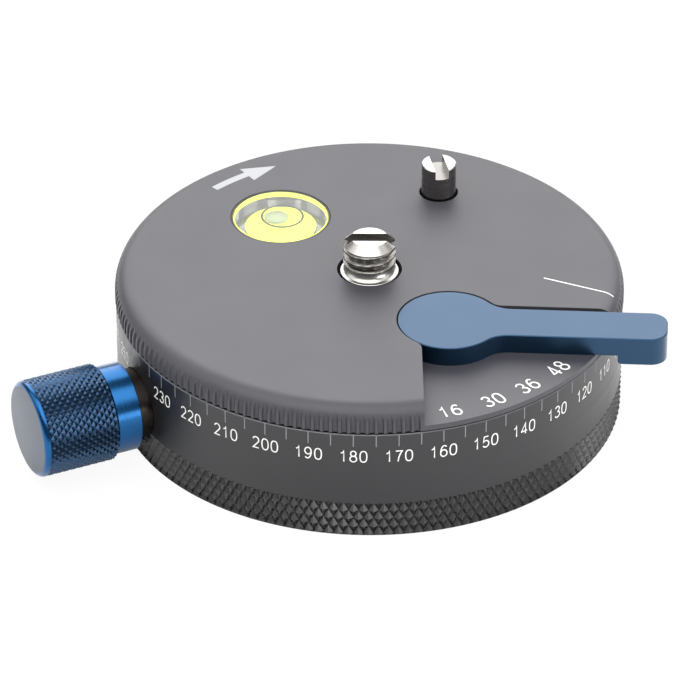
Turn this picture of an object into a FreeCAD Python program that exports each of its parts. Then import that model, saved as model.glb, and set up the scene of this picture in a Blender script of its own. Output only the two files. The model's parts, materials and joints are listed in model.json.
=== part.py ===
import FreeCAD, Part
import math
import os
import Sketcher

# Panoramic tripod head, in millimetres. The origin is the centre of the underside, on the pan
# axis, with +Z up. The degree band's 180 mark faces -Y. A round base screws on the tripod; a
# serrated plate turns on it, carries the camera screw and holds a click-stop lever. The lever
# carries a sprung ball, which runs over one of four rings of pits in a fixed index disc.

Z_AXIS = FreeCAD.Vector(0, 0, 1)
ORIGIN = FreeCAD.Vector(0, 0, 0)

# Each row is an alias, its value or its formula, and what it is.
SIZES = (
    # base
    ("body_radius", 46.0, "outer radius of the foot and of the turning plate"),
    ("foot_radius", "=body_radius", "knurled foot of the base"),
    ("foot_height", 6.7, "height of the knurled foot"),
    ("band_step", 0.14, "degree band under the body's radius"),
    ("band_radius", "=body_radius - band_step", "smooth degree band"),
    ("base_height", 20.85, "top edge of the degree band"),
    ("edge_break", 0.15, "small chamfer on turned edges"),
    ("wall_thick", 3.86, "wall of the base"),
    ("wall_inner", "=band_radius - wall_thick", "inside of the base wall"),
    ("floor_top", 5.0, "top of the base floor"),
    ("relief_inner", 12.0, "underside relief, inner radius"),
    ("rest_width", 6.5, "width of the resting face"),
    ("relief_outer", "=foot_radius - rest_width", "underside relief, outer radius"),
    ("relief_depth", 0.4, "underside relief depth"),
    ("ledge_width", 5.5, "width of the index ledge"),
    ("ledge_gap", 1.6, "index ledge to the brake drum"),
    ("ledge_top", 9.6, "top of the index ledge"),
    # tripod socket and spindle
    ("socket_radius", 4.8, "clear bore of the 3/8 inch socket"),
    ("socket_wall", 1.6, "wall of the socket bush"),
    ("socket_top", 8.6, "top of the socket bush"),
    ("collar_radius", 9.0, "collar of the socket bush"),
    ("collar_thick", 1.4, "thickness of that collar"),
    ("spindle_radius", 11.0, "running radius of the spindle"),
    ("spindle_bore", 6.6, "bore of the spindle"),
    ("flange_rim", 0.3, "rim of the spindle's flange outside its screws' heads"),
    ("flange_thick", 3.0, "thickness of that flange"),
    ("spindle_shoulder", 13.62, "top of the running length"),
    ("spindle_top", 17.2, "top of the threaded end"),
    ("thread_step", 0.4, "spindle thread under its running radius"),
    # fits
    ("play", 0.04, "radial clearance of a running fit"),
    ("seat", 0.02, "radial clearance of a fixed fit"),
    ("gap", 0.05, "axial clearance between running faces"),
    # rotor
    ("sleeve_wall", 3.0, "wall of the rotor hub"),
    ("sleeve_bush", 2.0, "wall of the bearing bush"),
    ("ring_thick", 0.5, "lower glide ring"),
    ("upper_ring_thick", 0.6, "upper glide ring"),
    ("nut_thick", 2.8, "spindle nut"),
    ("nut_radius", 14.2, "spindle nut"),
    ("hub_well", 15.0, "well above the bearing bush"),
    ("hub_flange", 24.0, "flange of the rotor hub"),
    ("hub_flange_thick", 2.8, "thickness of that flange"),
    ("drum_room", 4.6, "brake drum to the base wall"),
    ("drum_outer", "=wall_inner - drum_room", "brake drum, outer radius"),
    ("drum_wall", 2.8, "wall of the brake drum"),
    ("drum_bottom", 6.6, "lower edge of the brake drum"),
    ("drum_flange_step", 0.1, "drum flange under the spigot's radius"),
    ("drum_flange_thick", 2.4, "thickness of that flange"),
    # turning plate
    ("plate_radius", "=body_radius", "turning plate over its serrations"),
    ("joint_gap", 0.7, "base to the turning plate"),
    ("plate_lower", "=base_height + joint_gap", "underside of the rim"),
    ("rim_height", 4.95, "underside of the rim to the camera seat"),
    ("plate_top", "=plate_lower + rim_height", "camera seat"),
    ("spigot_gap", 0.4, "spigot to the base wall"),
    ("spigot_radius", "=wall_inner - spigot_gap", "spigot that dips into the base"),
    ("spigot_depth", 1.95, "depth of that spigot"),
    ("shoulder", 3.3, "round shoulder of the plate"),
    ("groove_count", 180, "grooves round the rim"),
    ("groove_depth", 0.5, "depth of a groove"),
    ("groove_floor", 0.5, "width of a groove at its bottom"),
    ("groove_mouth", 1.1, "width of a groove at the rim"),
    ("pocket_web", 1.15, "web under the lever pocket"),
    ("pocket_floor", "=plate_lower + pocket_web", "floor of the lever pocket"),
    # camera screw
    ("screw_radius", 4.7625, "3/8 inch camera screw"),
    ("screw_reach", 6.7, "camera screw over the camera seat"),
    ("screw_top", "=plate_top + screw_reach", "top of the camera screw"),
    ("screw_tip", 3.125, "flat end of the camera screw"),
    ("screw_tip_length", 1.2, "chamfered end"),
    ("screw_disc", 5.3, "disc under the thread"),
    ("screw_sink", 0.2, "disc under the camera seat"),
    ("screw_disc_top", "=plate_top - screw_sink", "top of the disc"),
    ("screw_disc_thick", 1.7, "thickness of the disc"),
    ("screw_flare", 1.4, "height of the flare over the disc"),
    ("screw_neck", 4.1, "relief under the thread"),
    ("screw_relief", 2.0, "disc to the start of the thread"),
    ("screw_thread_start", "=screw_disc_top + screw_relief", "start of the thread"),
    ("screw_slot", 2.45, "width of the coin slot"),
    ("screw_slot_depth", 1.9, "depth of the coin slot"),
    ("screw_slot_angle", 3.4, "direction of the coin slot, degrees"),
    ("screw_well", 5.88, "well round the disc"),
    ("lock_nut_flats", 14.3, "lock nut across flats"),
    ("lock_nut_thick", 2.6, "thickness of the lock nut"),
    ("lock_nut_well", 9.2, "well round the lock nut"),
    ("lock_nut_web", 2.95, "web over the lock nut"),
    # anti-twist pin
    ("pin_radius", 3.175, "1/4 inch anti-twist pin"),
    ("pin_reach", 6.2, "pin over the camera seat"),
    ("pin_top", "=plate_top + pin_reach", "top of the pin"),
    ("pin_below", 1.4, "pin under the plate"),
    ("pin_orbit", 29.4, "distance of the pin from the pan axis"),
    ("pin_angle", 67.8, "direction of the pin, degrees"),
    ("pin_head", 6.0, "full-size head of the pin"),
    ("pin_relief", 0.25, "thread of the pin under its head's radius"),
    ("pin_slot", 2.5, "width of its slot"),
    ("pin_slot_depth", 1.75, "depth of its slot"),
    ("pin_slot_angle", 105.4, "direction of its slot, degrees"),
    ("pin_well", 3.55, "well round the pin"),
    ("pin_well_depth", 2.1, "depth of that well"),
    ("stop_ring_radius", 4.2, "stop ring on the pin"),
    ("stop_ring_thick", 0.55, "thickness of the stop ring"),
    ("stop_groove_depth", 0.55, "groove for the stop ring"),
    # level
    ("level_orbit", 24.1, "distance of the level from the pan axis"),
    ("level_angle", 135.9, "direction of the level, degrees"),
    ("level_well", 9.15, "well for the level"),
    ("level_web", 1.0, "web under that well"),
    ("cup_wall", 0.2, "wall of the level's cup"),
    ("cup_floor", 0.3, "floor of the level's cup"),
    ("level_sink", 0.08, "level under the camera seat"),
    ("vial_wall", 1.8, "wall of the vial"),
    ("vial_floor", 0.5, "floor of the vial"),
    ("vial_roof", 1.1, "roof of the vial"),
    ("vial_dome", 0.45, "rise of the vial's domed roof"),
    # selector lever
    ("pivot_x", 15.2, "lever pivot"),
    ("pivot_y", -15.8, "lever pivot"),
    ("arm_angle", 0.5, "direction of the arm at rest, degrees"),
    ("head_radius", 9.25, "round head of the lever"),
    ("arm_width", 8.7, "width of the arm"),
    ("arm_proud", 8.1, "end of the arm beyond the plate"),
    ("arm_length", "=plate_radius + arm_proud - pivot_x", "pivot to the end of the arm"),
    ("neck_round", 5.5, "inside round of the neck"),
    ("end_round", 3.0, "corner round at the end"),
    ("lever_sink", 0.1, "lever under the camera seat"),
    ("lever_break", 0.15, "chamfer on the lever's upper edges"),
    ("lip_depth", 5.4, "height of the finger lip"),
    ("lip_length", 8.75, "length of the finger lip"),
    ("lip_round", 0.7, "round under the finger lip"),
    ("head_gap", 0.15, "clearance round the head"),
    ("back_gap", 0.75, "clearance of the arm at rest"),
    ("stop_gap", 0.75, "clearance of the arm at the last stop"),
    ("last_stop", 86.0, "travel to the last stop, degrees"),
    ("pocket_round", 2.6, "rounds where the pocket leaves its head"),
    ("spigot_pin", 2.9, "pivot spigot under the lever"),
    ("pivot_bush", 0.9, "wall of the pivot bush"),
    ("clip_radius", 4.5, "clip under the plate"),
    ("clip_thick", 0.6, "thickness of the clip"),
    ("washer_thick", 0.35, "wave washer under the plate"),
    ("clip_groove", 0.5, "depth of the clip's groove"),
    ("spigot_end", 0.7, "spigot beyond its clip"),
    # click stop
    ("ball_radius", 1.0, "click ball"),
    ("ball_orbit", 6.5, "ball from the lever pivot"),
    ("ball_drop", 0.4, "drop of the ball into a pit"),
    ("tube_wall", 0.66, "wall of the click tube"),
    ("tube_depth", 1.8, "click tube inside the lever"),
    ("tube_roof", 0.7, "closed end of the click tube"),
    ("slot_gap", 0.25, "clearance round the click tube"),
    ("spring_turns", 6, "turns of the click spring"),
    ("spring_wire", 0.32, "side of its wire"),
    ("disc_inner", 17.2, "index disc, inner radius"),
    ("disc_inset", 1.4, "index disc inside its ledge"),
    ("disc_thick", 2.0, "index disc"),
    ("land_step", 0.45, "free track under the disc's face"),
    ("pit_play", 0.05, "clearance of the ball in its pit"),
    # clamp
    ("knob_angle", -151.6, "direction of the clamp knob, degrees"),
    ("knob_height", 10.3, "height of the clamp knob's axis"),
    ("knob_radius", 8.89, "knurled grip"),
    ("knob_length", 14.33, "length of the knurled grip"),
    ("knob_round", 1.0, "round at the knob's end"),
    ("knob_shoulder", 0.5, "chamfer at the grip's inner end"),
    ("neck_radius", 8.05, "smooth neck of the knob"),
    ("neck_length", 4.59, "length of that neck"),
    ("stud_radius", 2.5, "clamp stud, M5"),
    ("stud_in_knob", 13.8, "stud inside the knob"),
    ("spot_depth", 0.96, "spot face under the band"),
    ("boss_radius", 6.4, "boss of the clamp bush"),
    ("boss_proud", 1.84, "boss beyond the band"),
    ("knob_gap", 0.38, "boss to the knob"),
    ("bush_wall", 0.95, "wall of the clamp bush"),
    ("bush_proud", 0.8, "clamp bush inside the base wall"),
    ("shoe_gap", 0.3, "brake shoe to drum at rest"),
    ("shoe_thick", 3.0, "brake shoe"),
    ("shoe_radius", 4.0, "brake shoe"),
    ("stud_tip", 1.5, "tip of the stud in the shoe"),
    ("tip_depth", 1.4, "tip inside the shoe"),
    # screws
    ("spindle_screw_orbit", 13.6, "spindle screws"),
    ("hub_screw_orbit", 20.0, "hub screws"),
    ("drum_screw_inset", 2.0, "drum screws inside the drum's flange"),
    ("disc_screw_inset", 3.2, "index disc screws inside the ledge's edge"),
    ("m_three", 1.5, "shank radius of an M3 screw"),
    ("m_three_head", 2.7, "head radius of an M3 screw"),
    ("m_three_head_height", 1.6, "head of an M3 cap screw"),
    ("m_two", 1.25, "shank radius of an M2.5 screw"),
    ("m_two_head", 1.7, "head radius of an M2.5 screw"),
    ("m_two_head_height", 1.3, "head of an M2.5 screw"),
    ("screw_bite", 3.6, "screw length in its thread"),
    # worked out
    ("bush_outer", "=socket_radius + socket_wall", "socket bush"),
    ("bush_hole", "=bush_outer + seat", "hole for the socket bush"),
    ("collar_top", "=floor_top + collar_thick", "top of its collar"),
    ("collar_recess", "=collar_top + gap", "recess over the collar"),
    ("collar_clear", "=collar_radius + 2 * gap", "recess over the collar"),
    ("relief_slope_in", "=relief_inner + relief_depth", "sloped edge of the relief"),
    ("relief_slope_out", "=relief_outer - relief_depth", "sloped edge of the relief"),
    ("foot_face", "=foot_radius - edge_break", "outer edge of the resting face"),
    ("band_face", "=band_radius - edge_break", "outer edge of the band's top"),
    ("band_edge", "=base_height - edge_break", "chamfer of the band"),
    ("spindle_flange", "=spindle_screw_orbit + m_three_head + flange_rim", "spindle's flange"),
    ("flange_top", "=floor_top + flange_thick", "top of the spindle flange"),
    ("spindle_thread", "=spindle_radius - thread_step", "threaded end"),
    ("plate_under", "=plate_lower - spigot_depth", "underside of the spigot"),
    ("pin_bottom", "=plate_under - pin_below", "lower end of the pin"),
    ("level_floor", "=plate_under + level_web", "floor of the level's well"),
    ("lower_ring_bottom", "=flange_top + gap", "lower glide ring"),
    ("lower_ring_top", "=lower_ring_bottom + ring_thick", "lower glide ring"),
    ("ring_inner", "=spindle_radius + 6 * gap", "glide rings"),
    ("hub_bottom", "=lower_ring_top + gap", "lower face of the hub"),
    ("bush_run", "=spindle_radius + play", "running bore of the bearing bush"),
    ("bearing_outer", "=bush_run + sleeve_bush", "outside of the bearing bush"),
    ("hub_bore", "=bearing_outer + seat", "bore of the hub"),
    ("hub_outer", "=hub_bore + sleeve_wall", "outside of the hub"),
    ("bearing_bottom", "=hub_bottom + gap", "lower face of the bearing bush"),
    ("upper_ring_top", "=spindle_shoulder + gap", "upper glide ring"),
    ("upper_ring_bottom", "=upper_ring_top - upper_ring_thick", "upper glide ring"),
    ("hub_step", "=upper_ring_bottom - gap", "floor of the hub's well"),
    ("bearing_top", "=hub_step - gap", "upper face of the bearing bush"),
    ("upper_ring_outer", "=hub_well - 6 * gap", "upper glide ring"),
    ("nut_bottom", "=upper_ring_top + gap", "spindle nut"),
    ("nut_top", "=nut_bottom + nut_thick", "spindle nut"),
    ("nut_bore", "=spindle_thread + seat", "spindle nut"),
    ("hub_flange_bottom", "=plate_under - hub_flange_thick", "hub flange"),
    ("drum_inner", "=drum_outer - drum_wall", "inside of the drum"),
    ("drum_flange", "=spigot_radius - drum_flange_step", "flange of the brake drum"),
    ("drum_screw_orbit", "=drum_flange - drum_screw_inset", "drum screws"),
    ("ledge_outer", "=drum_inner - ledge_gap", "index ledge, outer radius"),
    ("ledge_inner", "=ledge_outer - ledge_width", "index ledge, inner radius"),
    ("disc_outer", "=ledge_outer - disc_inset", "index disc, outer radius"),
    ("disc_screw_orbit", "=ledge_outer - disc_screw_inset", "index disc screws"),
    ("drum_flange_bottom", "=plate_under - drum_flange_thick", "drum flange"),
    ("rim_edge", "=plate_lower + edge_break", "chamfer under the rim"),
    ("rim_face", "=plate_radius - edge_break", "chamfer under the rim"),
    ("screw_hole", "=screw_radius + play", "hole for the camera screw"),
    ("screw_well_floor", "=screw_disc_top - screw_disc_thick - gap", "well of the disc"),
    ("lock_nut_seat", "=screw_well_floor - lock_nut_web", "face over the lock nut"),
    ("screw_disc_bottom", "=screw_disc_top - screw_disc_thick", "underside of the disc"),
    ("screw_neck_top", "=screw_disc_top + screw_flare", "top of the flare"),
    ("screw_cyl_top", "=screw_top - screw_tip_length", "end of the full thread"),
    ("lock_nut_top", "=lock_nut_seat - gap", "lock nut"),
    ("lock_nut_bottom", "=lock_nut_top - lock_nut_thick", "lock nut"),
    ("screw_bottom", "=lock_nut_bottom - 6 * gap", "lower end of the camera screw"),
    ("pin_hole", "=pin_radius + play", "threaded hole of the pin"),
    ("pin_well_floor", "=plate_top - pin_well_depth", "floor of the pin's well"),
    ("pin_shank", "=pin_radius - pin_relief", "threaded shank of the pin"),
    ("pin_head_start", "=pin_top - pin_head", "start of the pin's head"),
    ("pin_cyl_top", "=pin_top - edge_break", "chamfer of the pin"),
    ("pin_tip", "=pin_radius - edge_break", "chamfer of the pin"),
    ("stop_ring_top", "=plate_under - 2 * gap", "stop ring"),
    ("stop_ring_bottom", "=stop_ring_top - stop_ring_thick", "stop ring"),
    ("stop_groove_top", "=stop_ring_top + gap", "groove of the stop ring"),
    ("stop_groove_bottom", "=stop_ring_bottom - gap", "groove of the stop ring"),
    ("stop_groove", "=pin_radius - stop_groove_depth", "groove of the stop ring"),
    ("stop_ring_bore", "=stop_groove + play", "bore of the stop ring"),
    ("level_top", "=plate_top - level_sink", "top of the level"),
    ("cup_outer", "=level_well - 2 * gap", "cup of the level"),
    ("cup_inner", "=cup_outer - cup_wall", "inside of the cup"),
    ("cup_base", "=level_floor + cup_floor", "floor inside the cup"),
    ("vial_outer", "=cup_inner - gap", "outside of the vial"),
    ("vial_inner", "=vial_outer - vial_wall", "chamber of the vial"),
    ("vial_bottom", "=cup_base + gap", "underside of the vial"),
    ("chamber_bottom", "=vial_bottom + vial_floor", "floor of the chamber"),
    ("chamber_top", "=level_top - vial_roof", "top of the chamber, at its centre"),
    ("chamber_edge", "=chamber_top - vial_dome", "top of the chamber, at its wall"),
    ("lever_top", "=plate_top - lever_sink", "top of the lever"),
    ("lever_bottom", "=pocket_floor + gap", "underside of the lever"),
    ("lever_thick", "=lever_top - lever_bottom", "thickness of the lever"),
    ("bush_inner", "=spigot_pin + play", "bore of the pivot bush"),
    ("bush_out", "=bush_inner + pivot_bush", "outside of the pivot bush"),
    ("washer_top", "=plate_under - gap", "wave washer"),
    ("washer_bottom", "=washer_top - washer_thick", "wave washer"),
    ("clip_top", "=washer_bottom - gap", "clip"),
    ("clip_bottom", "=clip_top - clip_thick", "clip"),
    ("spigot_low", "=clip_bottom - spigot_end", "lower end of the spigot"),
    ("clip_seat", "=spigot_pin - clip_groove", "groove of the clip"),
    ("disc_top", "=ledge_top + disc_thick", "face of the index disc"),
    ("land_top", "=disc_top - land_step", "free track"),
    ("ball_height", "=disc_top + ball_radius + seat", "centre of the ball, riding"),
    ("tube_bore", "=ball_radius + play", "bore of the click tube"),
    ("tube_outer", "=tube_bore + tube_wall", "outside of the click tube"),
    ("tube_bottom", "=disc_top + 7 * gap", "lower end of the click tube"),
    ("tube_top", "=lever_bottom + tube_depth", "upper end of the click tube"),
    ("tube_roof_under", "=tube_top - tube_roof", "underside of the tube's closed end"),
    ("shoe_face", "=drum_outer + shoe_gap", "pan axis to the shoe's face"),
    ("shoe_back", "=shoe_face + shoe_thick", "pan axis to the shoe's back"),
    ("spot_face", "=band_radius - spot_depth", "pan axis to the spot face"),
    ("boss_end", "=band_radius + boss_proud", "pan axis to the boss's outer end"),
    ("bush_inner_end", "=wall_inner - bush_proud", "pan axis to the bush's inner end"),
    ("neck_start", "=boss_end + knob_gap", "pan axis to the neck"),
    ("grip_start", "=neck_start + neck_length", "pan axis to the grip"),
    ("knob_end", "=grip_start + knob_length", "pan axis to the knob's end"),
    ("grip_chamfer", "=grip_start + knob_shoulder", "chamfer of the grip"),
    ("grip_edge", "=knob_radius - knob_shoulder", "chamfer of the grip"),
    ("stud_end", "=neck_start + stud_in_knob", "outer end of the stud"),
    ("stud_hole_end", "=stud_end + gap", "hole in the knob"),
    ("stud_hole", "=stud_radius + seat", "hole in the knob"),
    ("bush_bore", "=stud_radius + play", "bore of the clamp bush"),
    ("bush_barrel", "=bush_bore + bush_wall", "outside of the clamp bush"),
    ("barrel_hole", "=bush_barrel + seat", "hole in the base wall"),
    ("spot_radius", "=boss_radius + 3 * gap", "spot face"),
    ("boss_start", "=spot_face + gap", "inner end of the boss"),
    ("tip_hole", "=stud_tip + play", "hole for the stud's tip"),
    ("tip_floor", "=shoe_back - tip_depth", "floor of that hole"),
    ("stud_tip_end", "=tip_floor + gap", "end of the tip"),
    ("stud_step", "=shoe_back + gap", "shoulder of the stud"),
)

# Angles of the screws and of the lever's stops, in degrees.
SPINDLE_SCREW_ANGLES = (45, 135, 225, 315)
HUB_SCREW_ANGLES = (10, 80, 190, 260)
DRUM_SCREW_ANGLES = (20, 80, 140, 200, 260)
DISC_SCREW_ANGLES = (0, 90, 180, 270)

# Each click ring: its number of stops in a turn, and the lever's travel to it in degrees.
CLICK_RINGS = ((48, 24.2), (36, 44.8), (30, 64.9), (16, 86.0))

doc = FreeCAD.newDocument("PanoramicHead")
sheet = doc.addObject("Spreadsheet::Sheet", "Sizes")


def fill_sheet():
    """Writes each size, its alias and its meaning on a row of its own."""
    for row, (alias, value, meaning) in enumerate(SIZES, start=1):
        sheet.set("A%d" % row, meaning)
        sheet.set("B%d" % row, str(value))
        sheet.setAlias("B%d" % row, alias)
    doc.recompute()


def mm(alias):
    """The sheet's value of one size."""
    return float(getattr(sheet, alias))


def bind(item, prop, alias):
    """Ties a property to a size in the sheet."""
    item.setExpression(prop, "Sizes." + alias)


def origin_feature(body, role):
    """One of a body's own origin planes or axes."""
    return [item for item in body.Origin.OriginFeatures if item.Role == role][0]


def add_sketch(body, role, height=None):
    """A sketch on one of the body's planes, lifted to a height from the sheet."""
    sketch = body.newObject("Sketcher::SketchObject", body.Name + "_sketch")
    sketch.AttachmentSupport = [(origin_feature(body, role), "")]
    sketch.MapMode = "FlatFace"
    if height:
        bind(sketch, ".AttachmentOffset.Base.z", height)
    return sketch


def place_vertex(sketch, line, x_alias, y_alias):
    """Holds a line's start at two sizes from the sheet. None means on the axis."""
    if x_alias is None:
        sketch.addConstraint(Sketcher.Constraint("PointOnObject", line, 1, -2))
    else:
        index = sketch.addConstraint(Sketcher.Constraint("DistanceX", -1, 1, line, 1, mm(x_alias)))
        bind(sketch, "Constraints[%d]" % index, x_alias)
    if y_alias is None:
        sketch.addConstraint(Sketcher.Constraint("PointOnObject", line, 1, -1))
    else:
        index = sketch.addConstraint(Sketcher.Constraint("DistanceY", -1, 1, line, 1, mm(y_alias)))
        bind(sketch, "Constraints[%d]" % index, y_alias)


def draw_outline(sketch, vertices):
    """A closed outline of straight lines through vertices named by their sizes."""
    points = []
    for x_alias, y_alias in vertices:
        x = mm(x_alias) if x_alias else 0.0
        y = mm(y_alias) if y_alias else 0.0
        points.append(FreeCAD.Vector(x, y, 0))
    count = len(points)
    for index in range(count):
        sketch.addGeometry(Part.LineSegment(points[index], points[(index + 1) % count]))
    for index in range(count):
        following = (index + 1) % count
        sketch.addConstraint(Sketcher.Constraint("Coincident", index, 2, following, 1))
    for index, (x_alias, y_alias) in enumerate(vertices):
        place_vertex(sketch, index, x_alias, y_alias)


def turned(label, vertices):
    """A turned body: an outline of radii and heights, revolved about Z."""
    body = doc.addObject("PartDesign::Body", label)
    body.Label = label
    sketch = add_sketch(body, "XZ_Plane")
    draw_outline(sketch, vertices)
    revolution = body.newObject("PartDesign::Revolution", label + "_turned")
    revolution.Profile = sketch
    revolution.ReferenceAxis = (sketch, ["V_Axis"])
    revolution.Angle = 360
    doc.recompute()
    return body


def round_edge(body, radius_alias, at_radius, at_height):
    """Rounds the circular edge of a turned body that lies at a radius and a height."""
    base = body.Tip
    names = []
    for index, edge in enumerate(base.Shape.Edges, start=1):
        box = edge.BoundBox
        level = abs(box.ZMin - at_height) < 1e-4 and abs(box.ZMax - at_height) < 1e-4
        if level and abs(box.XMax - at_radius) < 1e-4:
            names.append("Edge%d" % index)
    fillet = body.newObject("PartDesign::Fillet", body.Name + "_round")
    fillet.Base = (base, names)
    fillet.Radius = mm(radius_alias)
    bind(fillet, "Radius", radius_alias)
    doc.recompute()


def cylinder(name, radius, bottom, top, x=0.0, y=0.0):
    """A Part cylinder whose radius and height follow the sheet."""
    item = doc.addObject("Part::Cylinder", name)
    bind(item, "Radius", radius)
    item.setExpression("Height", "Sizes.%s - Sizes.%s" % (top, bottom))
    item.Placement.Base = FreeCAD.Vector(x, y, 0)
    bind(item, "Placement.Base.z", bottom)
    return item


def tube(label, inner, outer, bottom, top, x=0.0, y=0.0):
    """A plain ring, standing on a vertical axis."""
    body = turned(label, ((inner, bottom), (outer, bottom), (outer, top), (inner, top)))
    body.Placement.Base = FreeCAD.Vector(x, y, 0)
    return body


def shape_item(label, shape):
    """A sub-part or tool whose shape is worked out from the sheet's values."""
    item = doc.addObject("Part::Feature", label)
    item.Label = label
    item.Shape = shape
    return item


def cut(label, base, *tools):
    """The base with each tool taken away in turn."""
    result = base
    for index, tool in enumerate(tools):
        step = doc.addObject("Part::Cut", "%s_cut%d" % (label, index))
        step.Base = result
        step.Tool = tool
        result = step
    result.Label = label
    doc.recompute()
    return result


def fuse(label, *pieces):
    """Several solids joined into one."""
    result = doc.addObject("Part::MultiFuse", label)
    result.Shapes = list(pieces)
    result.Label = label
    doc.recompute()
    return result


def polar(radius, angle):
    """The x and y of a point at a distance and a direction from the pan axis."""
    turn = math.radians(angle)
    return radius * math.cos(turn), radius * math.sin(turn)


def turned_solid(profile, x, y):
    """A solid turned from a list of radii and heights, standing at a point."""
    points = [FreeCAD.Vector(radius, 0, height) for radius, height in profile]
    face = Part.Face(Part.makePolygon(points + [points[0]]))
    solid = face.revolve(ORIGIN, Z_AXIS, 360)
    solid.translate(FreeCAD.Vector(x, y, 0))
    return solid


def ring_of(label, profile, orbit, angles):
    """Equal turned solids on a circle, as one group."""
    solids = [turned_solid(profile, *polar(mm(orbit), angle)) for angle in angles]
    return shape_item(label, Part.makeCompound(solids))


def slot_box(width, depth, reach, top, angle, x, y):
    """A straight cutter for a slot across the end of a pin."""
    box = Part.makeBox(2 * reach, width, 2 * depth)
    box.translate(FreeCAD.Vector(-reach, -width / 2, top - depth))
    box.rotate(ORIGIN, Z_AXIS, angle)
    box.translate(FreeCAD.Vector(x, y, 0))
    return box


def on_knob_axis(item):
    """Lays a body that was turned about Z along the clamp knob's axis."""
    item.Placement = FreeCAD.Placement(ORIGIN, FreeCAD.Rotation(mm("knob_angle"), 90, 0))
    bind(item, "Placement.Base.z", "knob_height")
    return item


fill_sheet()
PIVOT = FreeCAD.Vector(mm("pivot_x"), mm("pivot_y"), 0)
PIN_X, PIN_Y = polar(mm("pin_orbit"), mm("pin_angle"))
LEVEL_X, LEVEL_Y = polar(mm("level_orbit"), mm("level_angle"))


def ball_place(travel):
    """Where the click ball stands after the lever has travelled so many degrees."""
    turn = math.radians(mm("arm_angle") - 90 - travel)
    reach = mm("ball_orbit")
    return PIVOT + FreeCAD.Vector(reach * math.cos(turn), reach * math.sin(turn), 0)


# ---- screws -------------------------------------------------------------------------------


def countersunk(shank, head, face, bottom, slack):
    """Profile of a countersunk screw or its hole, with its head flush under a face."""
    cone = head - shank
    return (
        (0, bottom - slack),
        (shank + slack, bottom - slack),
        (shank + slack, face - cone),
        (head + slack, face),
        (0, face),
    )


def cap_from_below(shank, head, head_height, face, bite, slack):
    """Profile of a cap screw driven up through a flange, with its head under the face."""
    return (
        (0, face - head_height),
        (head, face - head_height),
        (head, face),
        (shank + slack, face),
        (shank + slack, bite + slack),
        (0, bite + slack),
    )


def spindle_screw_profile(slack):
    bottom = mm("floor_top") - 0.8 * mm("screw_bite")
    face = mm("flange_top")
    return countersunk(mm("m_three"), mm("m_three_head"), face, bottom, slack)


def disc_screw_profile(slack):
    bottom = mm("ledge_top") - mm("screw_bite")
    return countersunk(mm("m_two"), mm("m_two_head"), mm("land_top"), bottom, slack)


def hub_screw_profile(slack):
    top = mm("plate_under") + mm("screw_bite")
    head = mm("m_three_head")
    height = mm("m_three_head_height")
    return cap_from_below(mm("m_three"), head, height, mm("hub_flange_bottom"), top, slack)


def drum_screw_profile(slack):
    top = mm("plate_under") + mm("screw_bite")
    head = mm("m_two_head")
    height = mm("m_two_head_height")
    return cap_from_below(mm("m_two"), head, height, mm("drum_flange_bottom"), top, slack)


SCREW_SETS = (
    ("spindle_screws", spindle_screw_profile, "spindle_screw_orbit", SPINDLE_SCREW_ANGLES),
    ("index_disc_screws", disc_screw_profile, "disc_screw_orbit", DISC_SCREW_ANGLES),
    ("hub_screws", hub_screw_profile, "hub_screw_orbit", HUB_SCREW_ANGLES),
    ("drum_screws", drum_screw_profile, "drum_screw_orbit", DRUM_SCREW_ANGLES),
)
screws = {}
screw_holes = {}
for name, profile, orbit, angles in SCREW_SETS:
    screws[name] = ring_of(name, profile(0.0), orbit, angles)
    screw_holes[name] = ring_of(name + "_holes", profile(mm("seat")), orbit, angles)


# ---- base ---------------------------------------------------------------------------------


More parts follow.
